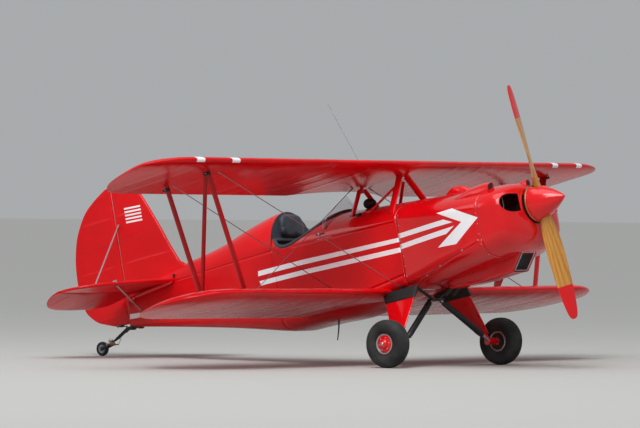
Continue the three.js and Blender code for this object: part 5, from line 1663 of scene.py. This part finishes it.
def swell(piece):
    even = piece.modifiers.new("even", "REMESH")
    even.mode, even.voxel_size = "VOXEL", swelling["voxel"]
    keepResult(piece)
    before = [v.co.copy() for v in piece.data.vertices]
    cloth = piece.modifiers.new("filling", "CLOTH")
    cloth.settings.use_pressure = True
    cloth.settings.uniform_pressure_force = swelling["pressure"]
    cloth.settings.effector_weights.gravity = 0
    scene = bpy.context.scene
    for moment in range(1, swelling["frames"] + 1):
        scene.frame_set(moment)
    keepResult(piece)
    for vertex, start in zip(piece.data.vertices, before):
        move = vertex.co - start
        if move.length > swelling["most"]:
            vertex.co = start + move * (swelling["most"] / move.length)
    finer = piece.modifiers.new("finer", "SUBSURF")
    finer.levels = finer.render_levels = 1
    keepResult(piece)
    scene.frame_set(1)
    print("swelled", piece.name, len(piece.data.polygons))
    return piece


# Cockpit: padded rim, headrest, panel, seat and stick
cockpit = {
    "roll": 0.016,
    "hood": 0.024,  # the rim's padding is thicker over the instruments
    "back": ((-1.384, 0.0, 0.240), (-1.384, 0.150, 0.240), (-1.383, 0.215, 0.241), (-1.378, 0.252, 0.241)),
    "front": -0.704,
}
padRows = (  # the headrest pad: x, and how far the outline has shrunk
    (-1.3995, 0.004),
    (-1.396, 0.0),
    (-1.372, 0.0),
    (-1.360, 0.006),
    (-1.355, 0.020),
    (-1.352, 0.050),
)
keptNodes = {
    "cockpit_floor": plywood,
    "instrument_panel": blackCrackle,
    "seat": blackCrackle,
    "control_stick": blackCoat,
    "firewall": paleAlloy,
    "whip_antenna": wireSteel,
}


def crownHalf(row, z):
    _, width, top, shoulder, _, _, crown = row
    return width * (1 - rising(z, shoulder, top - shoulder) ** crown) ** (1 / crown)


def rimPath():
    port, front = list(cockpit["back"]), cockpit["front"]
    for x in [*steps(-1.368, -0.80, 0.02), *steps(-0.79, -0.712, 0.006)]:
        z, row = rim(x), rowAt(deckRows, x)
        if z < row[2] - 0.001:
            port.append((x, crownHalf(row, z) - 0.009, z))
    x, y, z = port[-1]
    lift = float(rowAt(deckRows, front)[2]) - 0.003 - z
    port += [(x + (front - x) * sin(t), y * cos(t), z + lift * sin(t)) for t in np.linspace(0, pi / 2, 9)[1:]]
    return port + [(x, -y, z) for x, y, z in port[-2:0:-1]]


def padRing(x, shrink):
    ring = []
    for t in turns(56):
        u, v = bulge(cos(t), 0.5), bulge(sin(t), 0.5)
        narrow = 1 - 0.14 * max(v, 0) ** 2
        ring.append((x, (0.148 - shrink) * u * narrow, 0.365 + (0.101 - shrink) * v))
    return ring


def buildCockpit():
    path, thin = rimPath(), cockpit["roll"]
    extra = [(cockpit["hood"] - thin) * rising(x, -0.98, 0.2) for x, _, _ in path]
    path = [(x - more, y * (1 - more * 2), z) for (x, y, z), more in zip(path, extra)]
    roll = Sketch().tube(path, [thin + more for more in extra], sides=20, closed=True)
    coaming = roll.place("coaming_roll", vinyl, stands="cockpit_coaming", slot="padding")
    pad = swell(Sketch().loft([padRing(x, shrink) for x, shrink in padRows]).draw("headrest_pad", vinyl))
    park(pad, stands="headrest", slot="padding")

    for name, material in keptNodes.items():
        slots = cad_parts[name].data.materials
        slots.clear()
        slots.append(material)
    print("cockpit built")


# A cushion with pulled-in sides, drawn between a back and a front edge and turned to lie on the pan
def cushion(name, middle, size, turn):
    length, width, depth = size
    rings = []
    for v in np.linspace(-1, 1, 33):
        ring = []
        pull = (1 - abs(v) ** 6) ** 0.25 if abs(v) < 1 else 0.02
        for t in turns(48):
            u, w = bulge(cos(t), 0.45), bulge(sin(t), 0.45)
            channel = 0.004 * abs(sin(2.5 * pi * u)) if w > 0.2 else 0
            crown = 0.25 * depth * (1 - u * u) * (1 - v * v) if w > 0 else 0
            high = depth / 2 * w * pull + crown + channel
            ring.append((length / 2 * u * (0.9 + 0.1 * pull), width / 2 * v, high))
        rings.append(ring)
    piece = swell(Sketch().loft(rings).draw(name, vinyl))
    piece.data.transform(Matrix.Translation(middle) @ Matrix.Rotation(radians(turn), 4, "Y"))
    park(piece, slot="padding", sharp=60)


# Harness: two shoulder straps, each with an adjuster, and a lap strap to the buckle
harness = {
    "strap": (0.003, 0.044),  # thickness and width
    "shoulder": 0.075,  # from the centre plane
    # Columns: x, share of that distance, z
    "route": (
        (-1.352, 1, 0.128),
        (-1.330, 1, 0.120),
        (-1.296, 1, 0.020),
        (-1.272, 0.9, -0.140),
        (-1.200, 0.5, -0.205),
    ),
    "adjuster": ((-1.300, 0.006), (-1.280, 0.034)),
    "buckle": ((-1.226, -0.034, -0.214), (-1.172, 0.034, -0.196)),
}


def buildSeat():
    cushion("seat_cushion", (-1.165, 0, -0.243), (0.225, 0.390, 0.044), -6.6)
    cushion("back_cushion", (-1.305, 0, -0.060), (0.290, 0.370, 0.036), -82)
    belts, strap = Sketch(), harness["strap"]
    (x0, z0), (x1, z1) = harness["adjuster"]
    for side in (1, -1):
        y = side * harness["shoulder"]
        path = [(x, y * share, z) for x, share, z in harness["route"]]
        for a, b in zip(path, path[1:]):
            belts.bar(a, b, *strap, 0, 12, 0)
        belts.bar((-1.262, side * 0.185, -0.215), (-1.200, side * 0.030, -0.205), *strap, 0, 12, 0)
        belts.block((x0, y - 0.026, z0), (x1, y + 0.026, z1), 1, 0.003)
    belts.block(*harness["buckle"], 1, 0.004)
    belts.place("harness", webbing, wireSteel, slot="padding")
    print("seat built")


# Small fittings, by their places on the level airframe
details = {
    "fasteners": ((0.060, -0.441), (0.235, -0.398), (0.416, -0.356), (0.694, -0.284), (0.880, -0.238)),
    "edgeRows": (0.022, 0.902),  # x of the cowl's two rows of small screws
    "latch": (-0.880, -0.790, 0.176),
    "pod": (-0.500, 0.368),  # streamlined black housing on the deck, ahead of the windshield
    "boots": ((-0.537, 0.216), (-0.462, 0.232), (-0.076, 0.283)),  # where the cabane struts enter the deck
    "aerial": ((-0.950, -0.100, -0.520), (-1.003, -0.100, -0.697)),
    "exhaust": 0.021,
    "dash": -0.736,
    # Columns: y, z, radius
    "dials": (
        (-0.150, 0.170, 0.040),
        (-0.050, 0.185, 0.040),
        (0.055, 0.185, 0.040),
        (0.155, 0.165, 0.036),
        (-0.105, 0.080, 0.030),
        (0.000, 0.085, 0.030),
        (0.105, 0.080, 0.030),
    ),
}
screwHead = [(0.004, -0.001), (0.004, 0.0008), (0.002, 0.0016)]


def buildScrews():
    small = Sketch()
    big = [(0.0075, -0.001), (0.0075, 0.001), (0.005, 0.0022)]
    for side in (1, -1):
        for x, z in details["fasteners"]:
            small.lathe(big, (x, side * hullSide(cowlRows, x, z), z), (0, side, -0.25), 20)
        for z in (-0.36 + 0.085 * k for k in range(7)):
            for x in details["edgeRows"]:
                small.lathe(screwHead, (x, side * hullSide(cowlRows, x, z), z), (0, side, 0), 12)
    small.place("cowl_fasteners", paleAlloy, slot="bare_steel")
    screws = Sketch()
    radius, x = prop["spinner"] * 0.985, prop["base"] + prop["plate"] + 0.012
    for t in (angle + 0.2 for angle in turns(10)):
        way = Vector((0, cos(t), sin(t)))
        screws.lathe([(0.004, -0.002), *screwHead[1:]], Vector((x, 0, 0)) + way * radius, way, 12)
    screws.place("spinner_screws", wireSteel, body="propeller_assembly", slot="bare_steel")


def buildFittings():
    fittings = Sketch()
    flat = lambda a, b, wide, mark: fittings.bar(a, b, wide, 0.006, mark, 12, 0)
    for side in (1, -1):
        x0, x1, z = details["latch"]
        y = hullSide(deckRows, x0, z) + 0.002
        fittings.bar((x0, side * y, z), (x1, side * (y + 0.002), z), 0.012, 0.008, 0, 12, 0)
        x, y = x0 + 0.03, side * (y + 0.004)
        flat((x, y, z - 0.012), (x, y, z + 0.014), 0.014, 1)
        away = (0, side * 0.75, 0.66)
        for x, y in details["boots"]:
            high = crownHeight(rowAt(deckRows, x), y)
            boot = [(0.032, -0.004), (0.034, 0.001), (0.026, 0.004), (0.020, 0.006)]
            fittings.lathe(boot, (x, side * y, high), away, 24, 0)
            fittings.lathe([(0.004, 0), (0.004, 0.006)], (x - 0.027, side * y, high - 0.001), away, 6, 1)
        for share in (frontSpar, rearSpar):
            for x, y, z in (
                onWing(lowerSection, strut["footY"], share, 0.048),
                onWing(upperSection, strut["headY"], share, -0.045),
            ):
                y *= side
                fittings.block((x - 0.032, y - 0.013, z - 0.016), (x + 0.032, y + 0.013, z + 0.006), 0, 0.003)
                fittings.tube([(x, y - 0.018, z - 0.004), (x, y + 0.018, z - 0.004)], 0.005, 1, 10)
        for x, _, z in (wire["front"], wire["rear"]):
            flat((x, side * 0.288, z - 0.010), (x, side * 0.330, z + 0.022), 0.030, 0)
        flat((-2.850, side * 0.690, tailZ + 0.016), (-2.790, side * 0.712, tailZ + 0.014), 0.030, 1)
        flat((-3.075, side * 0.726, tailZ + 0.014), (-3.025, side * 0.726, tailZ + 0.014), 0.026, 1)
    fittings.place("wire_fittings", blackCoat, paleAlloy, slot="black_steel")


# Fairings where the tailplane meets the side. Columns: x, y, z, radius
rootRows = (
    (-3.140, 0.086, 0.114, 0.010),
    (-3.100, 0.094, 0.118, 0.018),
    (-2.900, 0.124, 0.130, 0.020),
    (-2.700, 0.152, 0.142, 0.018),
    (-2.655, 0.157, 0.146, 0.010),
)
rootPegRows = ((-2.648, 0.126, 0.176, 0.006), (-2.648, 0.126, 0.196, 0.011), (-2.646, 0.126, 0.212, 0.009))
pipeRows = (
    (0.420, 0.040, -0.470, 1),
    (0.300, 0.042, -0.480, 1),
    (0.215, 0.046, -0.512, 1),
    (0.165, 0.050, -0.545, 1),
    (0.172, 0.0495, -0.5405, 0.88),  # and back up inside, so that the end shows its bore
    (0.215, 0.046, -0.512, 0.88),
)


def flexed(sketch, rows, side, scale, mark, sides):
    path = [(x, side * y, z) for x, y, z, _ in rows]
    return sketch.tube(path, [scale * row[3] for row in rows], mark, sides)


def buildDash():
    dash, face = Sketch(), details["dash"]
    for y, z, radius in details["dials"]:
        bezel = ((0.84, -0.003), (1, -0.003), (1, 0.002), (0.94, 0.006), (0.84, 0.004))
        dash.lathe([(radius * share, run) for share, run in bezel], (face, y, z), (-1, 0, 0), 36, 0)
        dash.lathe([(radius * 0.85, 0.0), (radius * 0.85, 0.0012)], (face, y, z), (-1, 0, 0), 36, 1)
        x = face - 0.0025  # the needle
        dash.bar((x, y, z), (x, y + 0.55 * radius, z + 0.35 * radius), 0.0030, 0.0010, 2, 8, 0)
        for t in (radians(-120 + 30 * k) for k in range(9)):
            ends = [(face - 0.0018, y + r * sin(t), z + r * cos(t)) for r in (radius * 0.66, radius * 0.80)]
            dash.tube(ends, 0.0007, 2, 5)
    for y in (-0.120 + 0.06 * k for k in range(5)):  # switches
        dash.tube([(-0.735, y, 0.020), (-0.752, y, 0.014)], 0.003, 2, 8)
    dash.place("instruments", blackCrackle, dialBlack, whiteEnamel, slot="panel_black")


def buildDetails():
    buildScrews()
    x, z = details["pod"]
    shape = [(0.042 * sqrt(max(1 - s * s, 0)) * (1 - 0.25 * s), 0.062 * s) for s in np.linspace(-1, 1, 25)]
    pod = Sketch().lathe(shape, (x, 0, z), ahead, 36)
    pod.bar((x - 0.005, 0, z - 0.010), (x - 0.005, 0, z - 0.056), 0.050, 0.016, 0)
    pod.place("deck_pod", blackCrackle, slot="black_steel")
    buildFittings()

    root, pipes = Sketch(), Sketch()
    bud = [(0.004, -0.034), (0.020, -0.018), (0.025, 0.0), (0.020, 0.018), (0.004, 0.034)]
    for side in (1, -1):
        flexed(root, rootRows, side, 1, 0, 20).lathe(bud, (-3.205, side * 0.068, 0.104), ahead, 24)
        flexed(root, rootPegRows, side, 1, 1, 16)
        flexed(pipes, pipeRows, side, details["exhaust"], 0, 24)
    root.place("tailplane_root_fairings", redMetal, blackNeoprene, slot="red_metal")

    foot, tip = (Vector(p) for p in details["aerial"])
    line = [foot.lerp(tip, k / 8) for k in range(9)]
    bowed = [p + Vector((0.006 * sin(pi * k / 8), 0, 0)) for k, p in enumerate(line)]
    aerial = Sketch().tube(bowed, [0.0075 - 0.0004 * k for k in range(9)], sides=16)
    collar = [(0.012, -0.008), (0.018, 0.002), (0.014, 0.007), (0.008, 0.012)]
    aerial.lathe(collar, line[0], line[1] - line[0], 24)
    aerial.place("belly_aerial_rod", blackNeoprene, stands="belly_aerial", slot="black_steel")

    horn = Sketch().bar((-3.425, -0.062, -0.094), (-3.425, 0.062, -0.094), 0.022, 0.006, 0, 16, 0)
    for side in (1, -1):
        horn.tube([(-3.425, side * 0.056, z) for z in (-0.106, -0.086)], 0.006, 1, 10)
    horn.block((-3.440, -0.014, -0.098), (-3.408, 0.014, -0.078), 0, 0.002)
    horn.place("rudder_horn", blackCoat, wireSteel, body="rudder_surface", slot="black_steel")
    pipes.place("exhaust_stacks", burntSteel, slot="black_steel")
    buildDash()
    print("details built")


for build in (
    buildFuselage,
    buildCowl,
    buildBowl,
    buildChin,
    buildEngine,
    buildPropeller,
    buildWings,
    buildStruts,
    buildWires,
    buildTail,
    buildGear,
    buildTailWheel,
    buildWindshield,
    buildCockpit,
    buildSeat,
    buildDetails,
):
    build()

# Studio: a pale floor under a plain soft sky, one large soft key from the left and weak fill lights
studio = {"floor": "#BABAB7", "sky": "#E6E9EC", "skyLight": 0.5, "reach": 400}
sun = {"place": (4, -9, 14), "power": 1.3, "size": 25}
lamps = {  # place, size and power
    "key": ((9, -13, 12), 7, 800),
    "side": ((-9, -11, 7), 8, 250),
    "top": ((1.5, -2.5, 13), 9, 500),
}


def addLight(name, kind, place, power):
    light = bpy.data.lights.new(name, kind)
    light.energy = power
    holder = bpy.data.objects.new(name + "_light", light)
    holder.location = place
    aim = Vector((0, 0, 1)) - Vector(place)
    holder.rotation_euler = aim.to_track_quat("-Z", "Y").to_euler()
    bpy.context.scene.collection.objects.link(holder)
    return light


def buildStage():
    edge = [(studio["reach"] * cos(t), studio["reach"] * sin(t), 0) for t in turns(64)]
    Sketch().cap(edge).draw("floor", floorPaint(studio["floor"]))
    scene = bpy.context.scene
    scene.view_settings.view_transform = "Standard"
    scene.world = bpy.data.worlds.new("sky")
    scene.world.use_nodes = True
    sky = scene.world.node_tree.nodes["Background"]
    sky.inputs["Color"].default_value = linear(studio["sky"])
    sky.inputs["Strength"].default_value = studio["skyLight"]
    addLight("sun", "SUN", sun["place"], sun["power"]).angle = radians(sun["size"])
    for name, (place, size, power) in lamps.items():
        addLight(name, "AREA", place, power).size = size


# Camera: the photograph's, a long lens 46 m away, ahead to starboard and at the height of the wings
camera = {"place": (29.831, -36.068, 1.335), "turn": 39.51, "down": 0.103, "roll": 0.4, "lens": 312.3}


def buildCamera():
    data = bpy.data.cameras.new("camera")
    data.lens, data.sensor_width, data.clip_end = camera["lens"], 36, 1000
    holder = bpy.data.objects.new("camera", data)
    angles = ((camera["turn"], "Z"), (90 - camera["down"], "X"), (camera["roll"], "Z"))
    aim, tilt, roll = (Matrix.Rotation(radians(angle), 4, axis) for angle, axis in angles)
    holder.matrix_world = Matrix.Translation(camera["place"]) @ aim @ tilt @ roll
    bpy.context.scene.collection.objects.link(holder)
    bpy.context.scene.camera = holder


buildStage()
buildCamera()
print("studio ready")
